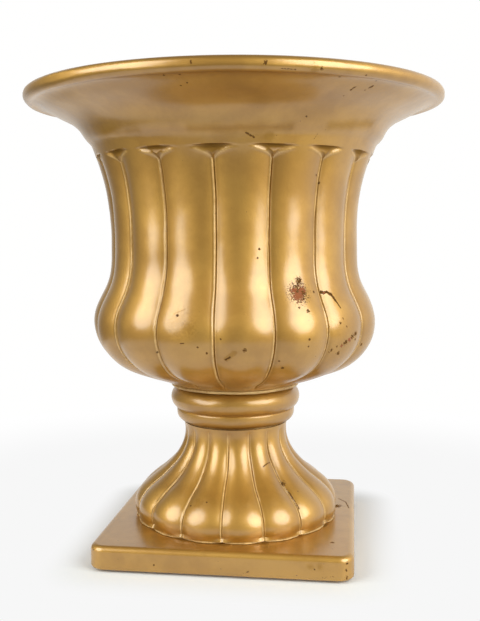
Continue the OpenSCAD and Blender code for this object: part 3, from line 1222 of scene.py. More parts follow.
@dataclass(frozen=True)
class DrainTube:
    """The threaded tube on the axis, with its nuts, washers and gasket.

    One turn of thread passes the points of its profile: share of the root's depth, and height over its start.
    """

    tube_r: float = 7
    tube_columns: int = 40
    bore_r: float = 5
    bore_chamfer: float = 0.4
    gap: float = 0.1
    pitch: float = 1.5
    thread: float = 26
    thread_in: float = 0.3
    profile: tuple[tuple[float, float], ...] = ((1, 0.1), (0, 0.65), (0, 0.85), (1, 1.4))
    root: float = 0.75
    plain_in: float = 0.3
    plain_from: float = 1.5
    plain_to: float = 2
    nut_af: float = 22
    nut_chamfer: float = 1.35
    nut_past: float = 0.6
    nut_cone: float = 2.2
    nut_bore_wide: float = 0.8
    nut_bore_deep: float = 0.6
    past: float = 1
    bore_columns: int = 48
    washer_r: float = 14.5
    washer_soft: float = 0.25
    gasket_r: float = 15.5
    gasket_soft: float = 0.6
    broken: float = 0.3
    disc_columns: int = 72

    def tube(self) -> Piece:
        """Turns the tube, plain in the middle and threaded at both ends.

        Returns:
            The finished tube.
        """
        low, high = span("drain_tube")
        end_r, chamfer = self.tube_r - self.root, self.bore_chamfer
        lower, upper = low + self.thread_in, high - self.thread_in - self.thread
        plain_r = self.tube_r - self.plain_in
        line: Line = [(self.bore_r, low + chamfer), (self.bore_r + chamfer, low), (end_r, low)]
        line += self.threads(lower)
        line += [(plain_r, lower + self.thread + self.plain_from),
                 (plain_r, high - self.thread - self.plain_to)]
        line += self.threads(upper)
        line += [(end_r, high), (self.bore_r + chamfer, high), (self.bore_r, high - chamfer)]
        tube = Bench.turn("DrainTube", line, self.tube_columns)
        Bench.finish(tube, ["drain_tube"], "zinc_steel", angle=25)
        return tube

    def threads(self, start: float) -> Line:
        """Returns the profile of one threaded stretch that starts at a height."""
        turns = range(int(self.thread / self.pitch))
        return [(self.tube_r - self.root * share, start + k * self.pitch + rise)
                for k in turns for share, rise in self.profile]

    def nut(self, name: str, node: str) -> Piece:
        """Models a hexagon nut with chamfered corners.

        Args:
            name: The new object's name.
            node: The nut's node.

        Returns:
            The finished nut.
        """
        low, high = span(node)
        corner = self.nut_af / 2 / math.cos(math.pi / 6)
        Bench.clear()
        bpy.ops.mesh.primitive_cylinder_add(
            vertices=6, radius=corner * MM, depth=(high - low) * MM,
            location=(0, 0, (low + high) / 2 * MM), rotation=(0, 0, math.pi / 6))
        nut = bpy.context.object
        nut.name = nut.data.name = name
        bpy.ops.object.transform_apply(location=True, rotation=True, scale=True)
        tip, flat, wide = corner - self.nut_cone, corner - self.nut_chamfer, corner + self.nut_past
        cone = [(0, low - self.past), (tip, low - self.past), (flat, low), (wide, low + self.nut_chamfer),
                (wide, high - self.nut_chamfer), (flat, high), (tip, high + self.past), (0, high + self.past)]
        Bench.carve(nut, Bench.turn("cone", cone, self.disc_columns, closed=False), "INTERSECT")
        hole = self.tube_r + self.gap
        mouth = hole + self.nut_bore_wide
        bore = [(0, low - self.past), (mouth, low - self.past), (hole, low + self.nut_bore_deep),
                (hole, high - self.nut_bore_deep), (mouth, high + self.past), (0, high + self.past)]
        Bench.carve(nut, Bench.turn("bore", bore, self.bore_columns, closed=False))
        Bench.finish(nut, [node], "zinc_steel", angle=25)
        return nut

    def disc(self, name: str, node: str, outer: float, slot: str, soft: float) -> Piece:
        """Turns a washer or gasket with broken edges.

        Args:
            name: The new object's name.
            node: The piece's node.
            outer: Outer radius in mm.
            slot: The record's material slot.
            soft: Size of the broken edges, in mm.

        Returns:
            The finished disc.
        """
        low, high = span(node)
        inner, nick = self.tube_r + self.gap, self.broken * soft
        line = [(inner + soft, low), (outer - soft, low), (outer - nick, low + nick), (outer, low + soft),
                (outer, high - soft), (outer - nick, high - nick), (outer - soft, high),
                (inner + soft, high), (inner, high - soft), (inner, low + soft)]
        piece = Bench.turn(name, line, self.disc_columns)
        Bench.finish(piece, [node], slot, angle=50)
        return piece

    def build(self) -> dict[str, list[Piece]]:
        """Models the tube and its fasteners.

        Returns:
            The pieces under the names of their finishes.
        """
        metal = [self.tube(), self.nut("TopNut", "top_nut"), self.nut("BottomNut", "bottom_nut")]
        metal += [self.disc(name, node, self.washer_r, "zinc_steel", self.washer_soft)
                  for name, node in (("TopWasher", "top_washer"), ("BottomWasher", "bottom_washer"))]
        rubber = [self.disc("FloorGasket", "floor_gasket", self.gasket_r, "black_rubber", self.gasket_soft)]
        return {"metal": metal, "rubber": rubber}


@dataclass(frozen=True)
class Pads:
    """The four felt pads under the plinth's corners."""

    r: float = 12
    inset: float = 22
    side: float = 218
    columns: int = 64
    middle: float = 0.5
    soft: float = 0.5
    bulge: float = 0.1
    bulge_h: float = 0.35
    fuzz: Ripple = Ripple(51, 5, 0.25)
    fuzz_zone: float = 0.7

    def pattern(self) -> Piece:
        """Models the pad from which the four are copied.

        Returns:
            The pad, on the axis.
        """
        low, high = span("pad_front_left")
        half, flat, side = self.r * self.middle, self.r - self.soft, self.r - self.bulge
        line = [(0, low), (half, low), (flat, low), (side, low + self.bulge_h), (self.r, (low + high) / 2),
                (side, high - self.bulge_h), (flat, high), (half, high), (0, high)]
        return Bench.turn("pad", line, self.columns, closed=False)

    def build(self) -> list[Piece]:
        """Models one pad, then copies it to the corners.

        Returns:
            The four finished pads.
        """
        first = self.pattern()
        centre = self.side / 2 - self.inset
        pads = []
        corners = (("front_left", -1, -1), ("front_right", 1, -1), ("back_left", -1, 1), ("back_right", 1, 1))
        for name, x, y in corners:
            pad = first.copy()
            pad.data = first.data.copy()
            pad.name = pad.data.name = "Pad_" + name
            bpy.context.collection.objects.link(pad)
            corner = np.array([x * centre, y * centre, 0]) * MM
            points = Bench.points(pad) + corner
            radial = points - corner
            fuzz = self.fuzz.at(points) * (radii(radial) > (self.r - self.fuzz_zone) * MM)
            points[:, :2] -= radial[:, :2] / (self.r * MM) * np.abs(fuzz)[:, None] * MM
            Bench.place(pad, points)
            Bench.finish(pad, ["pad_" + name], "felt", angle=60)
            pads.append(pad)
        bpy.data.objects.remove(first, do_unlink=True)
        return pads


# Wiring of materials

class Wiring:
    """Short calls for wiring one node tree. A source is a socket to link, or a plain value to set."""

    def __init__(self, tree: Tree) -> None:
        """Starts on a tree, which is emptied."""
        self.tree = tree
        tree.nodes.clear()

    def node(self, kind: str, **settings: object) -> Node:
        """Adds a node and sets its properties.

        Args:
            kind: The node's type.
            settings: Its properties by name.

        Returns:
            The node.
        """
        made = self.tree.nodes.new(kind)
        for name, value in settings.items():
            setattr(made, name, value)
        return made

    def feed(self, socket: Socket, source: object) -> None:
        """Links a socket to another one, or sets its value.

        Args:
            socket: The input.
            source: A socket, a number, a vector or a colour.
        """
        if isinstance(source, Socket):
            self.tree.links.new(source, socket)
        elif isinstance(source, tuple) and socket.type == "RGBA":
            socket.default_value = (*source[:3], 1.0)
        else:
            socket.default_value = source

    def filled(self, kind: str, sources: Iterable[tuple[int | str, object]], **settings: object) -> Node:
        """Adds a node and feeds its inputs.

        Args:
            kind: The node's type.
            sources: Inputs by index or name, each with its source.
            settings: The node's properties by name.

        Returns:
            The node.
        """
        made = self.node(kind, **settings)
        for name, source in sources:
            self.feed(made.inputs[name], source)
        return made

    def math(self, operation: str, *values: Source, clamp: bool = False) -> Socket:
        """Adds a Math node and returns its result."""
        made = self.filled("ShaderNodeMath", enumerate(values), operation=operation, use_clamp=clamp)
        return made.outputs[0]

    def times(self, a: Source, b: Source) -> Socket:
        """Returns a product."""
        return self.math("MULTIPLY", a, b)

    def plus(self, a: Source, b: Source) -> Socket:
        """Returns a sum."""
        return self.math("ADD", a, b)

    def minus(self, a: Source, b: Source) -> Socket:
        """Returns a difference."""
        return self.math("SUBTRACT", a, b)

    def most(self, a: Source, b: Source) -> Socket:
        """Returns the larger of two values."""
        return self.math("MAXIMUM", a, b)

    def total(self, values: Iterable[Source], operation: str = "ADD") -> Source:
        """Adds values up, or joins them by another operation.

        Args:
            values: At least one source.
            operation: A Math node's operation.

        Returns:
            The joined value.
        """
        result = None
        for value in values:
            result = value if result is None else self.math(operation, result, value)
        return result

    def vector(self, operation: str, *values: object) -> Node:
        """Adds a Vector Math node."""
        return self.filled("ShaderNodeVectorMath", enumerate(values), operation=operation)

    def away(self, a: object, b: object) -> Socket:
        """Returns the distance between two places."""
        return self.vector("DISTANCE", a, b).outputs["Value"]

    def between(self, value: Source, low: Source, high: Source, start: Source = 0.0,
                end: Source = 1.0) -> Socket:
        """Maps a value smoothly from one range to another.

        Args:
            value: What is mapped.
            low: Value that gives start.
            high: Value that gives end.
            start: Result at low and below.
            end: Result at high and above.

        Returns:
            The mapped value.
        """
        names = ("Value", "From Min", "From Max", "To Min", "To Max")
        sources = zip(names, (value, low, high, start, end))
        return self.filled("ShaderNodeMapRange", sources, interpolation_type="SMOOTHSTEP").outputs["Result"]

    def blend(self, share: Source, a: object, b: object) -> Socket:
        """Mixes two colours and returns the result."""
        sources = ((0, share), (6, a), (7, b))
        return self.filled("ShaderNodeMix", sources, data_type="RGBA", blend_type="MIX").outputs[2]

    def noise(self, vector: object, size_mm: float, detail: float = 2.0, rough: float = 0.5) -> Socket:
        """Adds noise whose largest features have a size in mm."""
        return self.scaled_noise(vector, 1 / (size_mm * MM), detail, rough)

    def scaled_noise(self, vector: object, scale: Source, detail: float, rough: float) -> Socket:
        """Adds noise by its scale, which may be a socket."""
        sources = (("Vector", vector), ("Scale", scale), ("Detail", detail), ("Roughness", rough))
        return self.filled("ShaderNodeTexNoise", sources).outputs["Fac"]

    def attribute(self, name: str) -> Socket:
        """Reads a number stored on the mesh."""
        return self.node("ShaderNodeAttribute", attribute_name=name).outputs["Fac"]

    def place(self, group: Tree, **inputs: object) -> Node:
        """Places a node group and feeds its inputs by name."""
        return self.filled("ShaderNodeGroup", inputs.items(), node_tree=group)

    def relief(self, shader: Node, height_mm: Source) -> None:
        """Bends a Principled BSDF's normal by a height in mm."""
        dent = self.filled("ShaderNodeBump", (("Height", height_mm), ("Strength", 1.0), ("Distance", MM)))
        self.feed(shader.inputs["Normal"], dent.outputs["Normal"])

    def object_place(self) -> Socket:
        """Returns the place on the piece, in metres."""
        return self.node("ShaderNodeTexCoord").outputs["Object"]


def start_material(name: str) -> tuple[Material, Wiring, Node, Node]:
    """Starts a material with a Principled BSDF.

    Args:
        name: The material's name.

    Returns:
        The material, its wiring, its output and its shader, linked to each other.
    """
    material = bpy.data.materials.new(name)
    material.use_nodes = True
    w = Wiring(material.node_tree)
    out, shader = w.node("ShaderNodeOutputMaterial"), w.node("ShaderNodeBsdfPrincipled")
    w.feed(out.inputs["Surface"], shader.outputs["BSDF"])
    return material, w, out, shader


class Effects:
    """The surface effects that several finishes share, each built once as a node group. Sizes are in mm."""

    PATCH, PATCH_RANGE, PATCH_STRENGTH = 17, (0.4, 0.62), (0.35, 1.3)
    PEEL, WAVE, CLOUD, CLOUD_RANGE = 1.7, 26, 42, (0.34, 0.66)
    PIT_LEAST, PIT_CORE = 0.35, 0.6
    RIM_DETAIL, RIM_ROUGH = 2.5, 0.6
    CHIP_RIM, SCRATCH_RIM = (0.92, 1.12), (0.75, 1.15)

    def __init__(self) -> None:
        """Builds the groups."""
        self.skin = self.build_skin()
        self.pits = self.build_pits()
        self.chip = self.build_chip()
        self.scratch = self.build_scratch()

    @staticmethod
    def start(name: str, vectors: Sequence[str], numbers: Sequence[str], results: Sequence[str]) -> tuple[
            Tree, Wiring, dict[str, Socket], Node]:
        """Starts a group with its sockets.

        Args:
            name: The group's name.
            vectors: Names of its vector inputs.
            numbers: Names of its number inputs.
            results: Names of its outputs, all numbers.

        Returns:
            The group, its wiring, its inputs by name, and its output node.
        """
        tree = bpy.data.node_groups.new(name, "ShaderNodeTree")
        sockets = ((vectors, "INPUT", "Vector"), (numbers, "INPUT", "Float"), (results, "OUTPUT", "Float"))
        for labels, way, kind in sockets:
            for label in labels:
                tree.interface.new_socket(name=label, in_out=way, socket_type="NodeSocket" + kind)
        w = Wiring(tree)
        come, go = w.node("NodeGroupInput"), w.node("NodeGroupOutput")
        return tree, w, {label: come.outputs[label] for label in (*vectors, *numbers)}, go

    def build_skin(self) -> Tree:
        """Builds the skin of a sprayed surface: fine orange peel over slow waves, with cloudy tone.

        Returns:
            The group.
        """
        tree, w, come, go = self.start("Sprayed skin", ["Vector"], ["Fine", "Broad"], ["Height", "Tone"])
        at = come["Vector"]
        patchy = w.between(w.noise(at, self.PATCH, 2), *self.PATCH_RANGE, *self.PATCH_STRENGTH)
        fine = w.times(w.minus(w.noise(at, self.PEEL, 2, 0.55), 0.5), come["Fine"])
        broad = w.times(w.minus(w.noise(at, self.WAVE, 3, 0.45), 0.5), come["Broad"])
        w.feed(go.inputs["Height"], w.plus(w.times(fine, patchy), broad))
        w.feed(go.inputs["Tone"], w.between(w.noise(at, self.CLOUD, 5, 0.6), *self.CLOUD_RANGE))
        return tree

    def build_pits(self) -> Tree:
        """Builds small scattered pinholes and specks.

        Returns:
            The group.
        """
        tree, w, come, go = self.start("Pinholes", ["Vector"], ["Spacing", "Size", "Share"], ["Mask"])
        cells = w.node("ShaderNodeTexVoronoi")
        w.feed(cells.inputs["Vector"], come["Vector"])
        w.feed(cells.inputs["Scale"], w.math("DIVIDE", 1.0, come["Spacing"]))
        chance, growth, _ = w.filled("ShaderNodeSeparateColor", [(0, cells.outputs["Color"])]).outputs
        away = w.times(cells.outputs["Distance"], come["Spacing"])
        size = w.times(come["Size"], w.plus(w.math("POWER", growth, 2.0), self.PIT_LEAST))
        near = w.minus(1.0, w.between(away, w.times(size, self.PIT_CORE), size))
        w.feed(go.inputs["Mask"], w.times(near, w.math("LESS_THAN", chance, come["Share"])))
        return tree

    def rim(self, w: Wiring, come: dict[str, Socket], go: Node, away: Source,
            ends: tuple[float, float]) -> None:
        """Breaks a mark's rim up and joins it with the marks before it; a high Ragged leaves islands.

        Args:
            w: The group's wiring.
            come: Its inputs by name.
            go: Its output node.
            away: Distance from the mark's middle.
            ends: Where the rim starts and ends, as shares of Size, before Soft widens it.
        """
        scale = w.math("DIVIDE", 1.0, come["Grain"])
        rough = w.minus(w.scaled_noise(come["Vector"], scale, self.RIM_DETAIL, self.RIM_ROUGH), 0.5)
        reach = w.plus(w.math("DIVIDE", away, come["Size"]), w.times(w.times(rough, 2.0), come["Ragged"]))
        made = w.between(reach, w.minus(ends[0], come["Soft"]), w.plus(ends[1], come["Soft"]), 1.0, 0.0)
        w.feed(go.inputs["Mask"], w.most(made, come["Before"]))

    def build_chip(self) -> Tree:
        """Builds a ragged spot round a place.

        Returns:
            The group.
        """
        tree, w, come, go = self.start(
            "Chip", ["Vector", "Centre"], ["Size", "Ragged", "Grain", "Soft", "Before"], ["Mask"])
        self.rim(w, come, go, w.away(come["Vector"], come["Centre"]), self.CHIP_RIM)
        return tree

    def build_scratch(self) -> Tree:
        """Builds a ragged stroke between two places.

        Returns:
            The group.
        """
        tree, w, come, go = self.start(
            "Scratch", ["Vector", "Start", "End"], ["Size", "Ragged", "Grain", "Soft", "Before"], ["Mask"])
        way = w.vector("SUBTRACT", come["End"], come["Start"]).outputs[0]
        from_start = w.vector("SUBTRACT", come["Vector"], come["Start"]).outputs[0]
        share = w.math("DIVIDE", w.vector("DOT_PRODUCT", from_start, way).outputs["Value"],
                       w.vector("DOT_PRODUCT", way, way).outputs["Value"], clamp=True)
        along = w.filled("ShaderNodeVectorMath", ((0, way), ("Scale", share)), operation="SCALE").outputs[0]
        self.rim(w, come, go, w.away(from_start, along), self.SCRATCH_RIM)
        return tree


# Finishes

class Wear(Enum):
    """What a worn place shows."""

    BARE = "bare clay"
    STAIN = "brown stain"
    SCUFF = "dull scuff"
    SMUDGE = "faint smudge"
# Also used for the painted shade on the band.


@dataclass(frozen=True)
class Mark:
    """A worn place: a spot, or a stroke where it has an end. Places are in metres, size and grain in mm."""

    wear: Wear
    place: Vector
    size: float
    ragged: float = 0.6
    grain: float = 2.4
    end: Vector | None = None
    soft: float = 0.0


@dataclass(frozen=True)
class Pinholes:
    """Scattered pinholes or nibs, by their spacing and size in mm."""

    spacing: float
    size: float

    def mask(self, w: Wiring, effects: Effects, at: Socket, share: float) -> Socket:
        """Returns where they lie; share is how many of the places hold one."""
        return w.place(effects.pits, Vector=at, Spacing=self.spacing * MM, Size=self.size * MM,
                       Share=share).outputs["Mask"]


@dataclass(frozen=True)
class Surface:
    """The masks and heights that a lacquer is mixed from, as sockets."""

    at: Socket
    tone: Socket
    peel: Socket
    pits: Socket
    nibs: Socket
    painted_shade: Socket
    painted_highlight: Socket
    bare: Source
    stain: Source
    scuff: Source
    # Smudges, and the painted shade on the band.
    smudge_and_shade: Source


@dataclass(frozen=True)
class GoldLacquer:
    """Satin gold lacquer over terracotta, with a painted highlight on the seams' lips and painted shade in
    the creases.

    The tint fields say how far a mask turns the colour, the lost fields how much metal it takes away, the
    rough and coat fields what it does to the gloss, and the last ones its height in mm.
    """

    name: str
    marks: tuple[Mark, ...] = ()
    dots: tuple[tuple[Vector, float], ...] = ()
    deep: Colour = (0.44, 0.235, 0.042)
    pale: Colour = (0.54, 0.302, 0.058)
    # The colour of the painted shade in creases and hollows, also used to darken scuffs, smudges and the
    # painted shade on the band.
    crease: Colour = (0.150, 0.066, 0.009)
    # The pale colour of the painted highlight on the lips and arms.
    painted_highlight: Colour = (0.86, 0.62, 0.28)
    clay: Colour = (0.33, 0.105, 0.042)
    burnt: Colour = (0.125, 0.050, 0.014)
    edge: Colour = (1.0, 0.82, 0.50)
    roughness: float = 0.61
    roughest: float = 0.92
    coat_roughness: float = 0.24
    coat_ior: float = 1.7
    fine: float = 0.09
    broad: float = 0.42
    pinholes: Pinholes = Pinholes(15, 0.75)
    specks: Pinholes = Pinholes(6, 0.4)
    pit_share: float = 0.16
    nibs: Pinholes = Pinholes(8, 0.7)
    nib_share: float = 0.22
    dot_rim: float = 1.3
    dot_grain: float = 1.1
    dot_edge: tuple[float, float] = (-0.1, 0.25)
    # How patchy and how strong the painted highlight is, and how strong the painted shade.
    highlight_patch: float = 5
    highlight_ends: tuple[float, float] = (0.3, 0.7)
    highlight_kept: tuple[float, float] = (0.5, 1.0)
    highlight_tint: float = 0.8
    shade_tint: float = 0.85
    scuff_tint: float = 0.10
    smudge_and_shade_tint: float = 0.22
    pit_tint: float = 0.8
    stain_tint: float = 0.85
    clay_grain: float = 1.6
    clay_even: float = 0.75
    bare_lost: float = 0.8
    stain_lost: float = 0.25
    # Metal taken away by the painted shade, the painted highlight, and the smudges with the band's painted
    # shade.
    shade_lost: float = 0.12
    highlight_lost: float = 0.5
    smudge_and_shade_lost: float = 0.05
    tone_rough: float = -0.05
    scuff_rough: float = 0.06
    stain_rough: float = 0.2
    lost_rough: float = 0.45
    scuff_coat: float = 0.25
    smudge_and_shade_coat: float = 0.55
    bare_high: float = -0.28
    pit_high: float = -0.22
    nib_high: float = 0.10
    stain_high: float = -0.06
    scuff_grain: float = 2.2
    scuff_high: float = 0.22

    def joined(self, w: Wiring, effects: Effects, at: Socket, wear: Wear) -> Source:
        """Joins the marks of one kind, each through the group of the one before it.

        Args:
            w: The material's wiring.
            effects: The shared node groups.
            at: Place on the piece.
            wear: The kind of wear.

        Returns:
            The joined mask, or 0 where there is none.
        """
        joined: Source = 0.0
        for mark in (mark for mark in self.marks if mark.wear is wear):
            shared = {"Vector": at, "Size": mark.size * MM, "Ragged": mark.ragged, "Grain": mark.grain * MM,
                      "Soft": mark.soft, "Before": joined}
            if mark.end is None:
                made = w.place(effects.chip, Centre=mark.place, **shared)
            else:
                made = w.place(effects.scratch, Start=mark.place, End=mark.end, **shared)
            joined = made.outputs["Mask"]
        return joined

    def dot_mask(self, w: Wiring, at: Socket) -> Source:
        """Joins the dots, which share one noise for their rims.

        Args:
            w: The material's wiring.
            at: Place on the piece.

        Returns:
            The mask, or 0 where there are no dots.
        """
        if not self.dots:
            return 0.0
        gaps = (w.minus(w.away(at, place), size * MM) for place, size in self.dots)
        rim = w.times(w.minus(w.noise(at, self.dot_grain, 2), 0.5), self.dot_rim * MM)
        low, high = (end * MM for end in self.dot_edge)
        return w.between(w.plus(w.total(gaps, "MINIMUM"), rim), low, high, 1.0, 0.0)

    def surface(self, w: Wiring, effects: Effects) -> Surface:
        """Wires the masks.

        Args:
            w: The material's wiring.
            effects: The shared node groups.

        Returns:
            The masks and heights.
        """
        at = w.object_place()
        skin = w.place(effects.skin, Vector=at, Fine=self.fine, Broad=self.broad)
        pits = w.most(self.pinholes.mask(w, effects, at, self.pit_share),
                      self.specks.mask(w, effects, at, self.pit_share))
        nibs = self.nibs.mask(w, effects, at, self.nib_share)
        # The vertex masks of painted shade (creases, hollows, edges) and of the painted highlight (lips and
        # arms).
        painted_shade = w.attribute("painted_shade")
        patchy = w.between(w.noise(at, self.highlight_patch, 3), *self.highlight_ends, *self.highlight_kept)
        painted_highlight = w.times(w.attribute("painted_highlight"), patchy)
        bare = self.joined(w, effects, at, Wear.BARE)
        stain = w.most(self.joined(w, effects, at, Wear.STAIN), self.dot_mask(w, at))
        scuff, smudge_and_shade = (self.joined(w, effects, at, wear) for wear in (Wear.SCUFF, Wear.SMUDGE))
        return Surface(at, skin.outputs["Tone"], skin.outputs["Height"], pits, nibs, painted_shade, painted_highlight, bare,
                       stain, scuff, smudge_and_shade)

    def colour(self, w: Wiring, s: Surface) -> Socket:
        """Wires the colour.

        Args:
            w: The material's wiring.
            s: The masks.

        Returns:
            The colour.
        """
        colour = w.blend(s.tone, self.deep, self.pale)
        # Blends in the painted highlight, the painted shade, the scuffs and the smudges, the last also
        # holding the painted shade on the band.
        tints = ((s.painted_highlight, self.highlight_tint, self.painted_highlight), (s.painted_shade, self.shade_tint, self.crease),
                 (s.scuff, self.scuff_tint, self.crease), (s.smudge_and_shade, self.smudge_and_shade_tint, self.crease))
        for mask, share, tint in tints:
            colour = w.blend(w.times(mask, share), colour, tint)
        dark = w.times(w.most(s.stain, w.times(s.pits, self.pit_tint)), self.stain_tint)
        colour = w.blend(dark, colour, self.burnt)
        clay = w.blend(w.noise(s.at, self.clay_grain, 3, 0.7), self.burnt, self.clay)
        return w.blend(s.bare, colour, w.blend(self.clay_even, clay, self.clay))

    def height(self, w: Wiring, s: Surface) -> Source:
        """Wires the height.

        Args:
            w: The material's wiring.
            s: The masks.

        Returns:
            The height in mm.
        """
        parts = [w.times(mask, high) for mask, high in (
            (s.bare, self.bare_high), (s.pits, self.pit_high), (s.nibs, self.nib_high),
            (s.stain, self.stain_high))]
        scuffed = w.times(s.scuff, w.times(w.noise(s.at, self.scuff_grain, 3), self.scuff_high))
        return w.total([s.peel, *parts, scuffed])

    def make(self, effects: Effects) -> Material:
        """Wires the material.

        Args:
            effects: The shared node groups.

        Returns:
            The material.
        """
        material, w, _, shader = start_material(self.name)
        s = self.surface(w, effects)
        w.feed(shader.inputs["Base Color"], self.colour(w, s))
        # Painted shade and painted highlight also take metal away, and painted shade also takes the coat.
        lost = w.total([w.times(mask, share) for mask, share in (
            (s.bare, self.bare_lost), (s.stain, self.stain_lost), (s.painted_shade, self.shade_lost),
            (s.painted_highlight, self.highlight_lost), (s.smudge_and_shade, self.smudge_and_shade_lost))], "MAXIMUM")
        w.feed(shader.inputs["Metallic"], w.minus(1.0, lost))
        rough = w.plus(w.times(s.tone, self.tone_rough), self.roughness)
        rough = w.total([rough, w.times(s.scuff, self.scuff_rough), w.times(s.stain, self.stain_rough),
                         w.times(lost, self.lost_rough)])
        w.feed(shader.inputs["Roughness"], w.math("MINIMUM", rough, self.roughest))
        dull = w.total([s.bare, lost, s.stain, s.painted_shade, w.times(s.scuff, self.scuff_coat),
                        w.times(s.smudge_and_shade, self.smudge_and_shade_coat)], "MAXIMUM")
        w.feed(shader.inputs["Coat Weight"], w.minus(1.0, dull))
        shader.inputs["Coat Roughness"].default_value = self.coat_roughness
        shader.inputs["Coat IOR"].default_value = self.coat_ior
        shader.inputs["Specular Tint"].default_value = (*self.edge, 1)
        w.relief(shader, self.height(w, s))
        return material


@dataclass(frozen=True)
class PlainFinish:
    """A dull finish with grain: joint compound, zinc, rubber or felt."""

    name: str
    light: Colour
    dark: Colour
    roughness: float
    grain_mm: float
    grain_height: float
    metallic: float = 0.0
    sheen: float = 0.0
    broad: float = 0.05
    rough_spread: float = 0.16

    def make(self, effects: Effects) -> Material:
        """Wires the material.

        Args:
            effects: The shared node groups.

        Returns:
            The material.
        """
        material, w, _, shader = start_material(self.name)
        at = w.object_place()
        skin = w.place(effects.skin, Vector=at, Fine=self.grain_height, Broad=self.broad)
        grain = w.noise(at, self.grain_mm, 4, 0.65)
        share = w.times(w.plus(grain, skin.outputs["Tone"]), 0.5)
        w.feed(shader.inputs["Base Color"], w.blend(w.between(share, 0.3, 0.75), self.dark, self.light))
        smoothest = self.roughness - self.rough_spread / 2
        w.feed(shader.inputs["Roughness"], w.plus(w.times(grain, self.rough_spread), smoothest))
        shader.inputs["Metallic"].default_value = self.metallic
        shader.inputs["Sheen Weight"].default_value = self.sheen
        w.relief(shader, w.plus(w.times(grain, self.grain_height), skin.outputs["Height"]))
        return material


def dress(pieces: Iterable[Piece], material: Material) -> None:
    """Gives pieces one material.

    Args:
        pieces: The pieces.
        material: Their finish.
    """
    for piece in pieces:
        piece.data.materials.clear()
        piece.data.materials.append(material)


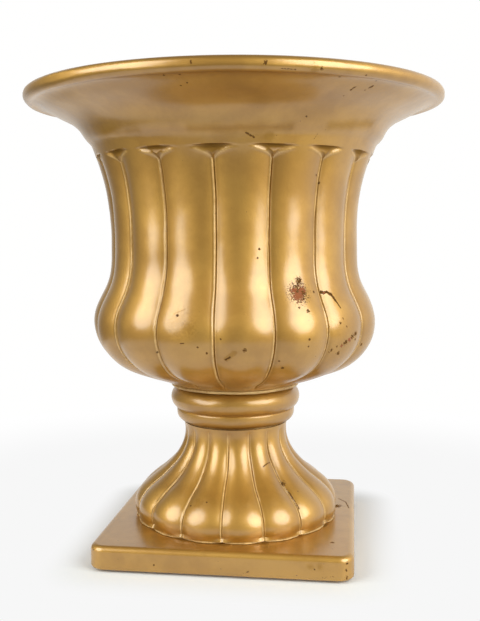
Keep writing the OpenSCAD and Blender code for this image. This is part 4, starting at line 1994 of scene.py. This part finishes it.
@dataclass(frozen=True)
class WornPlaces:
    """Where the lacquer has been knocked off, rubbed or stained, and where shade is painted on the band.

    On the bowl a place is a bearing in degrees from the front and a height in mm, on the foot it also has a
    radius, and on the plinth it is three lengths in mm. A mark's other numbers are its size, raggedness
    and grain.
    """

    bowl: Bowl
    front: float = -109
    deck: float = 22
    # Widths of the painted shade strokes on the band, at their ends and in their middles.
    band_shade_thin: float = 3.6
    band_shade_thick: float = 4.6

    def spot(self, wear: Wear, bearing: float, z: float, size: float, ragged: float = 0.6,
             grain: float = 2.4, soft: float = 0.0) -> Mark:
        """Marks a spot on the bowl."""
        return Mark(wear, self.bowl.spot(bearing, z), size, ragged, grain, soft=soft)

    def stroke(self, wear: Wear, start: tuple[float, float], end: tuple[float, float], size: float,
               ragged: float = 0.5, grain: float = 1.6, soft: float = 0.0) -> Mark:
        """Marks a stroke on the bowl between two places."""
        return Mark(wear, self.bowl.spot(*start), size, ragged, grain, self.bowl.spot(*end), soft)

    def painted_band_shade(self) -> list[Mark]:
        """Draws the painted shade on the band over the flutes, as smudge strokes thinner at their ends.

        Returns:
            Their strokes.
        """
        paths = (((-6.5, 356.3), (1.9, 355.9), (10.0, 355.8), (18.3, 355.9), (26.8, 357.1)),
                 ((42.6, 359.6), (51.8, 361.8), (63.0, 364.8)),
                 ((-44.6, 359.1), (-35.4, 357.3), (-27.6, 356.7)))
        drawn = []
        for path in paths:
            for step, (start, end) in enumerate(zip(path, path[1:])):
                size = self.band_shade_thin if step in (0, len(path) - 2) else self.band_shade_thick
                drawn.append(self.stroke(Wear.SMUDGE, start, end, size, 1.2, 14.0, soft=1.0))
        return drawn

    def chip(self) -> list[Mark]:
        """Draws the large chip with its dark rim and crumbs.

        Returns:
            Its spots.
        """
        bare, stain = Wear.BARE, Wear.STAIN
        rows = (
            (bare, 32.8, 228.6, 4.3, 1.7, 2.0), (bare, 35.2, 233.0, 2.8, 2.8, 1.3),
            (bare, 31.6, 233.0, 2.2, 2.8, 1.2), (stain, 33.6, 230.5, 6.6, 2.7, 1.0),
            (stain, 34.6, 240.0, 2.5, 2.8, 0.9), (stain, 32.4, 219.7, 0.8, 2.4, 0.9),
            (stain, 35.8, 216.8, 1.3, 2.6, 0.9), (stain, 41.3, 230.9, 1.0))
        return [self.spot(*row) for row in rows]

    def streak(self) -> list[Mark]:
        """Draws the dark streak that crosses the seam beside the chip.

        Returns:
            Its strokes, and the bare speck in it.
        """
        path = ((45.9, 230.2), (46.9, 229.6), (48.2, 230.2), (50.0, 227.6), (51.0, 222.8), (52.2, 217.2))
        parts = zip(path, path[1:], (1.5, 1.1, 1.4, 1.1, 0.6))
        drawn = [self.stroke(Wear.STAIN, *part, 0.9, 1.3) for part in parts]
        return [*drawn, self.spot(Wear.BARE, 47.0, 229.8, 0.9, 1.6, 1.0)]

    def cluster(self) -> list[Mark]:
        """Draws the worn cluster on the belly to the right.

        Returns:
            Its spots.
        """
        bare, stain = Wear.BARE, Wear.STAIN
        rows = (
            (stain, 47.6, 183.5, 1.2), (stain, 46.8, 181.6, 0.7), (stain, 49.6, 186.2, 0.8),
            (stain, 51.3, 180.2, 1.4), (bare, 51.8, 186.4, 1.2), (stain, 53.4, 188.6, 1.9),
            (bare, 55.4, 191.0, 1.9), (stain, 57.2, 193.0, 1.8), (stain, 59.2, 194.8, 2.0),
            (stain, 59.6, 190.4, 0.9), (stain, 50.4, 205.4, 0.8), (stain, 52.0, 208.6, 0.7),
            (stain, 53.4, 202.0, 0.6))
        return [self.spot(*row, 2.5, 1.0) for row in rows]

    def dots(self) -> tuple[tuple[Vector, float], ...]:
        """Places the bowl's pinhole stains.

        Returns:
            Each one's place and its radius in mm.
        """
        found = (
            (-5.5, 190.3, 0.8), (-2.5, 185.4, 0.9), (-23.0, 184.0, 0.9), (2.8, 196.8, 0.7),
            (24.8, 177.7, 0.8), (35.2, 194.8, 0.9), (35.1, 189.2, 0.7), (70.0, 183.0, 1.2),
            (18.1, 265.3, 0.9), (17.3, 258.4, 0.8), (31.8, 364.5, 0.7), (43.0, 323.0, 0.8),
            (45.5, 317.0, 0.9), (34.0, 388.0, 0.8), (39.4, 389.0, 0.7), (45.4, 388.0, 0.7),
            (45.1, 382.8, 0.6), (40.2, 378.5, 0.6), (-3.7, 383.6, 0.7), (-5.6, 382.3, 0.6),
            (-4.8, 387.9, 0.8), (-8.6, 388.0, 0.9))
        return tuple((self.bowl.spot(bearing, z), size) for bearing, z, size in found)

    def on_bowl(self) -> tuple[Mark, ...]:
        """Gathers the bowl's marks.

        Returns:
            Those of the chip, streak and cluster, the painted shade on the band, and the single ones.
        """
        spot, stroke = self.spot, self.stroke
        stain, scuff, smudge_and_shade = Wear.STAIN, Wear.SCUFF, Wear.SMUDGE
        return (
            *self.chip(), *self.streak(), *self.cluster(), *self.painted_band_shade(),
            spot(stain, 11.2, 188.2, 1.5, 2.0, 0.9), spot(stain, 26.8, 171.4, 1.4, 1.6, 0.9),
            spot(scuff, -11.5, 208.0, 10.0, 1.2, soft=0.5), spot(smudge_and_shade, -8.6, 205.0, 5.0, 1.2, soft=0.6),
            stroke(smudge_and_shade, (-14.8, 215.6), (-10.6, 219.3), 0.5, 2.2, 0.9),
            spot(stain, -13.2, 214.5, 1.1, 2.0, 0.9), stroke(stain, (-11.7, 193.1), (-10.4, 193.3), 0.45),
            stroke(smudge_and_shade, (4.5, 180.6), (7.6, 186.2), 2.2, 0.6),
            stroke(stain, (4.2, 180.0), (5.9, 182.5), 0.8, 0.9, 1.2),
            stroke(smudge_and_shade, (10.4, 357.6), (12.1, 352.6), 0.9, 2.0, 1.2),
            stroke(stain, (12.1, 352.4), (14.9, 349.4), 0.7, 2.0, 0.9),
            spot(smudge_and_shade, 20.1, 350.4, 4.2, 0.7, soft=0.35),
            stroke(stain, (37.8, 349.6), (38.7, 352.9), 0.6, 0.8, 0.9),
            spot(smudge_and_shade, 25.8, 389.9, 3.0, 2.2, 1.2), spot(stain, 27.4, 390.6, 1.2, 2.6, 0.8),
            stroke(stain, (18.3, 389.6), (21.5, 389.4), 0.4, 2.2, 0.9),
            spot(stain, 14.7, 393.0, 1.3, 2.6, 0.9),
            stroke(stain, (-1.3, 394.6), (-1.2, 392.5), 0.5, 2.0, 0.9),
            stroke(stain, (40.6, 381.9), (41.0, 383.6), 0.8, 2.4, 0.8),
            stroke(stain, (45.9, 384.3), (46.3, 385.4), 0.8, 2.4, 0.8),
        )

    def on_foot(self) -> tuple[Mark, ...]:
        """Gathers the foot's marks.

        Returns:
            The long crack with its crumbs, and the dents to its left.
        """
        stain = Wear.STAIN
        return (
            Mark(stain, around(33.6, 55.1, 75.9), 0.55, 0.6, end=around(38.8, 53.6, 77.8)),
            Mark(stain, around(38.8, 53.6, 77.8), 0.5, 0.6, end=around(43.3, 52.2, 77.5)),
            Mark(stain, around(45.9, 60.6, 67.9), 0.8, 1.6, 1.0, end=around(45.7, 74.6, 55.5)),
            Mark(stain, around(45.5, 66.4, 61.6), 2.2, 2.6, 0.9),
            Mark(stain, around(45.9, 74.0, 55.5), 0.7, 1.2, 1.0, end=around(46.3, 86.0, 44.0)),
            Mark(Wear.SMUDGE, around(-15.0, 81.0, 51.5), 4.0, 1.4, soft=0.3),
            Mark(stain, around(-19.8, 82.6, 49.4), 0.8, 0.8),
            Mark(stain, around(-10.0, 80.5, 53.1), 0.7, 0.8),
        )

    def on_plinth(self) -> tuple[Mark, ...]:
        """Gathers the plinth's marks.

        Returns:
            Those on its deck, then those on its front.
        """
        def mark(wear: Wear, start: Place, size: float, ragged: float = 0.8, grain: float = 1.2,
                 end: Place | None = None, soft: float = 0.0) -> Mark:
            """Marks a place given in mm."""
            stop = Vector(end) * MM if end else None
            return Mark(wear, Vector(start) * MM, size, ragged, grain, stop, soft)

        stain, smudge_and_shade, front, deck = Wear.STAIN, Wear.SMUDGE, self.front, self.deck
        return (
            mark(stain, (94, 41, deck), 0.5, 1.2, end=(101, 31, deck)),
            mark(stain, (101, 31, deck), 0.5, 1.2, end=(104, 14, deck)),
            mark(stain, (92.5, 18, deck), 4.0, 3.0, 1.0), mark(stain, (91, -76, deck), 1.5, 1.8, 1.0),
            mark(smudge_and_shade, (74.5, front, 13.5), 2.4, 0.7, 2.4, soft=0.7),
            mark(smudge_and_shade, (82.0, front, 13.8), 2.4, 0.7, 2.4, soft=0.7), mark(stain, (77.6, front, 11.7), 0.7),
            mark(stain, (20.3, -108, 5.6), 0.8, 1.6, end=(25.5, -108.4, 7.6)),
            mark(stain, (103.2, -107, 17.0), 1.0, 2.6, 0.9),
            mark(stain, (102.8, -107.3, 11.5), 0.9, 2.6, 0.9),
            mark(stain, (103.4, -107.5, 5.5), 1.2, 2.6, 0.9),
            mark(stain, (84, -107.6, 5), 1.0, 2.4, end=(93, -107.6, 6.2)),
            mark(stain, (-52.7, front, 9.0), 0.8), mark(stain, (-68, -107.5, 5), 0.9),
            mark(stain, (-10.4, -107.8, 5.2), 0.9),
            mark(stain, (-36, -107, 4.4), 1.0, 2.4, end=(-28, -107, 4.2)),
            mark(Wear.BARE, (20, -107, 4.0), 0.8, 1.6),
        )


# Studio

@dataclass(frozen=True)
class Softbox:
    """A soft oval lamp. Bearing is from the front towards +X; distance, width and height are in metres."""

    name: str
    bearing: float
    elevation: float
    power: float
    distance: float = 1.5
    width: float = 1.25
    height: float = 1.45
    colour: Colour = (0.965, 1.0, 0.965)

    def hang(self, aim: Vector) -> None:
        """Hangs the lamp and turns it to the urn.

        Args:
            aim: The point that it faces.
        """
        a, e = math.radians(self.bearing), math.radians(self.elevation)
        offset = Vector((math.sin(a) * math.cos(e), -math.cos(a) * math.cos(e), math.sin(e))) * self.distance
        lamp = bpy.data.lights.new(self.name, "AREA")
        lamp.shape, lamp.size, lamp.size_y, lamp.energy = "ELLIPSE", self.width, self.height, self.power
        lamp.color = self.colour
        obj = bpy.data.objects.new(self.name, lamp)
        obj.location = aim + offset
        obj.rotation_euler = (-offset).to_track_quat("-Z", "Y").to_euler()
        obj.visible_camera = False
        bpy.context.collection.objects.link(obj)


@dataclass(frozen=True)
class Studio:
    """The camera, the pale floor, the white surroundings and the softboxes, in metres and radians.

    The floor is shaded within clear_floor of the square under the plinth, and white from white_floor on. The
    surroundings fade from white behind the urn to front_grey behind the camera, along the direction toward.
    """

    lens: float = 49.0
    sensor: float = 36.0
    camera_at: Place = (0.1059, -0.7593, 0.2793)
    heading: float = 0.13275
    pitch: float = 0.0937
    roll: float = 0.005
    nearest: float = 0.01
    farthest: float = 50
    floor_r: float = 0.6
    floor_faces: int = 128
    floor_colour: Colour = (0.80, 0.81, 0.82)
    floor_rough: float = 0.7
    floor_gloss: float = 0.1
    clear_half: float = 0.10
    clear_floor: float = 0.006
    white_floor: float = 0.055
    table_white: float = 0.93
    table_ends: tuple[float, float] = (0.2, 0.45)
    toward: tuple[float, float] = (0.45, 0.85)
    fade: tuple[float, float] = (-0.1, 0.75)
    front_grey: float = 0.165
    back_white: float = 0.75
    backdrop_top: float = 0.4
    over_backdrop: float = 0.7
    sky: Colour = (1.0, 1.0, 0.995)
    lamps: tuple[Softbox, ...] = (
        Softbox("left softbox", bearing=-50, elevation=25, power=21.5),
        Softbox("right softbox", bearing=56, elevation=23, power=24.5),
    )

    def set_camera(self) -> None:
        """Sets the photograph's camera."""
        camera = bpy.data.cameras.new("camera")
        camera.lens, camera.sensor_width = self.lens, self.sensor
        camera.clip_start, camera.clip_end = self.nearest, self.farthest
        obj = bpy.data.objects.new("camera", camera)
        turn = (Matrix.Rotation(self.heading, 4, "Z") @ Matrix.Rotation(QUARTER - self.pitch, 4, "X")
                @ Matrix.Rotation(-self.roll, 4, "Z"))
        obj.matrix_world = Matrix.Translation(self.camera_at) @ turn
        bpy.context.collection.objects.link(obj)
        bpy.context.scene.camera = obj

    def floor_material(self) -> Material:
        """Wires the floor, whose white is seen by the camera and in reflections but lights nothing.

        Returns:
            The material.
        """
        material, w, out, shader = start_material("pale floor")
        shader.inputs["Base Color"].default_value = (*self.floor_colour, 1)
        shader.inputs["Roughness"].default_value = self.floor_rough
        shader.inputs["Specular IOR Level"].default_value = self.floor_gloss
        white, mix = w.node("ShaderNodeEmission"), w.node("ShaderNodeMixShader")
        half, none = (self.clear_half, self.clear_half, 0.0), (0.0, 0.0, 0.0)
        beyond = w.vector("SUBTRACT", w.vector("ABSOLUTE", w.object_place()).outputs[0], half).outputs[0]
        away = w.vector("LENGTH", w.vector("MAXIMUM", beyond, none).outputs[0]).outputs["Value"]
        rays = w.node("ShaderNodeLightPath").outputs
        looks = ("Is Camera Ray", "Is Glossy Ray", "Is Transmission Ray")
        seen = w.total((rays[name] for name in looks), "MAXIMUM")
        w.feed(mix.inputs[0], w.times(w.between(away, self.clear_floor, self.white_floor), seen))
        w.feed(mix.inputs[1], shader.outputs[0])
        w.feed(white.inputs["Strength"], w.between(away, *self.table_ends, self.table_white, 1.0))
        w.feed(mix.inputs[2], white.outputs[0])
        w.feed(out.inputs["Surface"], mix.outputs[0])
        return material

    def lay_floor(self) -> None:
        """Lays the pale table top, which fades to the white of the surroundings towards its rim."""
        Bench.clear()
        bpy.ops.mesh.primitive_circle_add(vertices=self.floor_faces, radius=self.floor_r, fill_type="NGON",
                                          location=(0, 0, 0))
        floor = bpy.context.object
        floor.name = "floor"
        floor.data.materials.append(self.floor_material())
        floor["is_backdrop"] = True

    def light_world(self) -> None:
        """Makes the surroundings white behind and beside the urn, and grey behind the camera."""
        world = bpy.data.worlds.new("studio")
        bpy.context.scene.world = world
        world.use_nodes = True
        w = Wiring(world.node_tree)
        out, sky = w.node("ShaderNodeOutputWorld"), w.node("ShaderNodeBackground")
        w.feed(out.inputs["Surface"], sky.outputs[0])
        way = w.node("ShaderNodeTexCoord").outputs["Generated"]
        x, y, z = w.filled("ShaderNodeSeparateXYZ", [(0, way)]).outputs
        toward = w.plus(w.times(x, self.toward[0]), w.times(y, self.toward[1]))
        over = w.most(w.minus(z, self.backdrop_top), 0.0)
        toward = w.minus(toward, w.times(over, self.over_backdrop))
        rays = w.node("ShaderNodeLightPath").outputs
        mirrored = w.most(rays["Is Glossy Ray"], rays["Is Transmission Ray"])
        back = w.plus(w.times(mirrored, 1 - self.back_white), self.back_white)
        depth = w.between(toward, *self.fade, self.front_grey, back)
        w.feed(sky.inputs["Strength"], w.most(depth, rays["Is Camera Ray"]))
        w.feed(sky.inputs["Color"], self.sky)

    def build(self) -> None:
        """Sets up the whole studio."""
        bpy.context.scene.view_settings.view_transform = "Standard"
        self.set_camera()
        self.lay_floor()
        self.light_world()
        low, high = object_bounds()
        for lamp in self.lamps:
            lamp.hang((low + high) / 2)
        LOG.info("studio set with %d lamps", len(self.lamps))


# The urn

COMPOUND = PlainFinish(
    "Joint compound", (0.66, 0.45, 0.19), (0.36, 0.20, 0.06), 0.45, 1.5, 0.12, metallic=0.35)
ZINC = PlainFinish("Zinc plate", (0.52, 0.53, 0.55), (0.36, 0.37, 0.39), 0.38, 4.0, 0.02, metallic=1.0)
RUBBER = PlainFinish("Black rubber", (0.035, 0.035, 0.036), (0.012, 0.012, 0.012), 0.72, 0.8, 0.03)
FELT = PlainFinish("Brown felt", (0.065, 0.040, 0.024), (0.018, 0.011, 0.007), 0.95, 0.5, 0.25, sheen=0.4)


@dataclass(frozen=True)
class Urn:
    """The whole urn, from the bowl down to its pads."""

    bowl: Bowl = Bowl()
    collar: Collar = Collar()
    foot: Foot = Foot()
    plinth: Plinth = Plinth()
    beads: JointBeads = JointBeads()
    tube: DrainTube = DrainTube()
    pads: Pads = Pads()

    def build(self) -> None:
        """Models and dresses every piece."""
        effects = Effects()
        worn = WornPlaces(self.bowl)
        dress([self.bowl.build()],
              GoldLacquer("Gold lacquer, bowl", worn.on_bowl(), worn.dots()).make(effects))
        dress([self.foot.build()], GoldLacquer("Gold lacquer, foot", worn.on_foot()).make(effects))
        dress([self.collar.build()], GoldLacquer("Gold lacquer, collar").make(effects))
        dress([self.plinth.build()],
              GoldLacquer("Gold lacquer, plinth", worn.on_plinth(), pit_share=0.3).make(effects))
        dress(self.beads.build(), COMPOUND.make(effects))
        hardware = self.tube.build()
        dress(hardware["metal"], ZINC.make(effects))
        dress(hardware["rubber"], RUBBER.make(effects))
        dress(self.pads.build(), FELT.make(effects))


def main(cad_box: list[list[float]]) -> None:
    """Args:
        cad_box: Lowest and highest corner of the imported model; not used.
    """
    logging.basicConfig(level=logging.INFO, format="%(message)s")
    Studio().build()
    Urn().build()


if __name__ == "__main__":
    main([list(corner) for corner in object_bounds()])
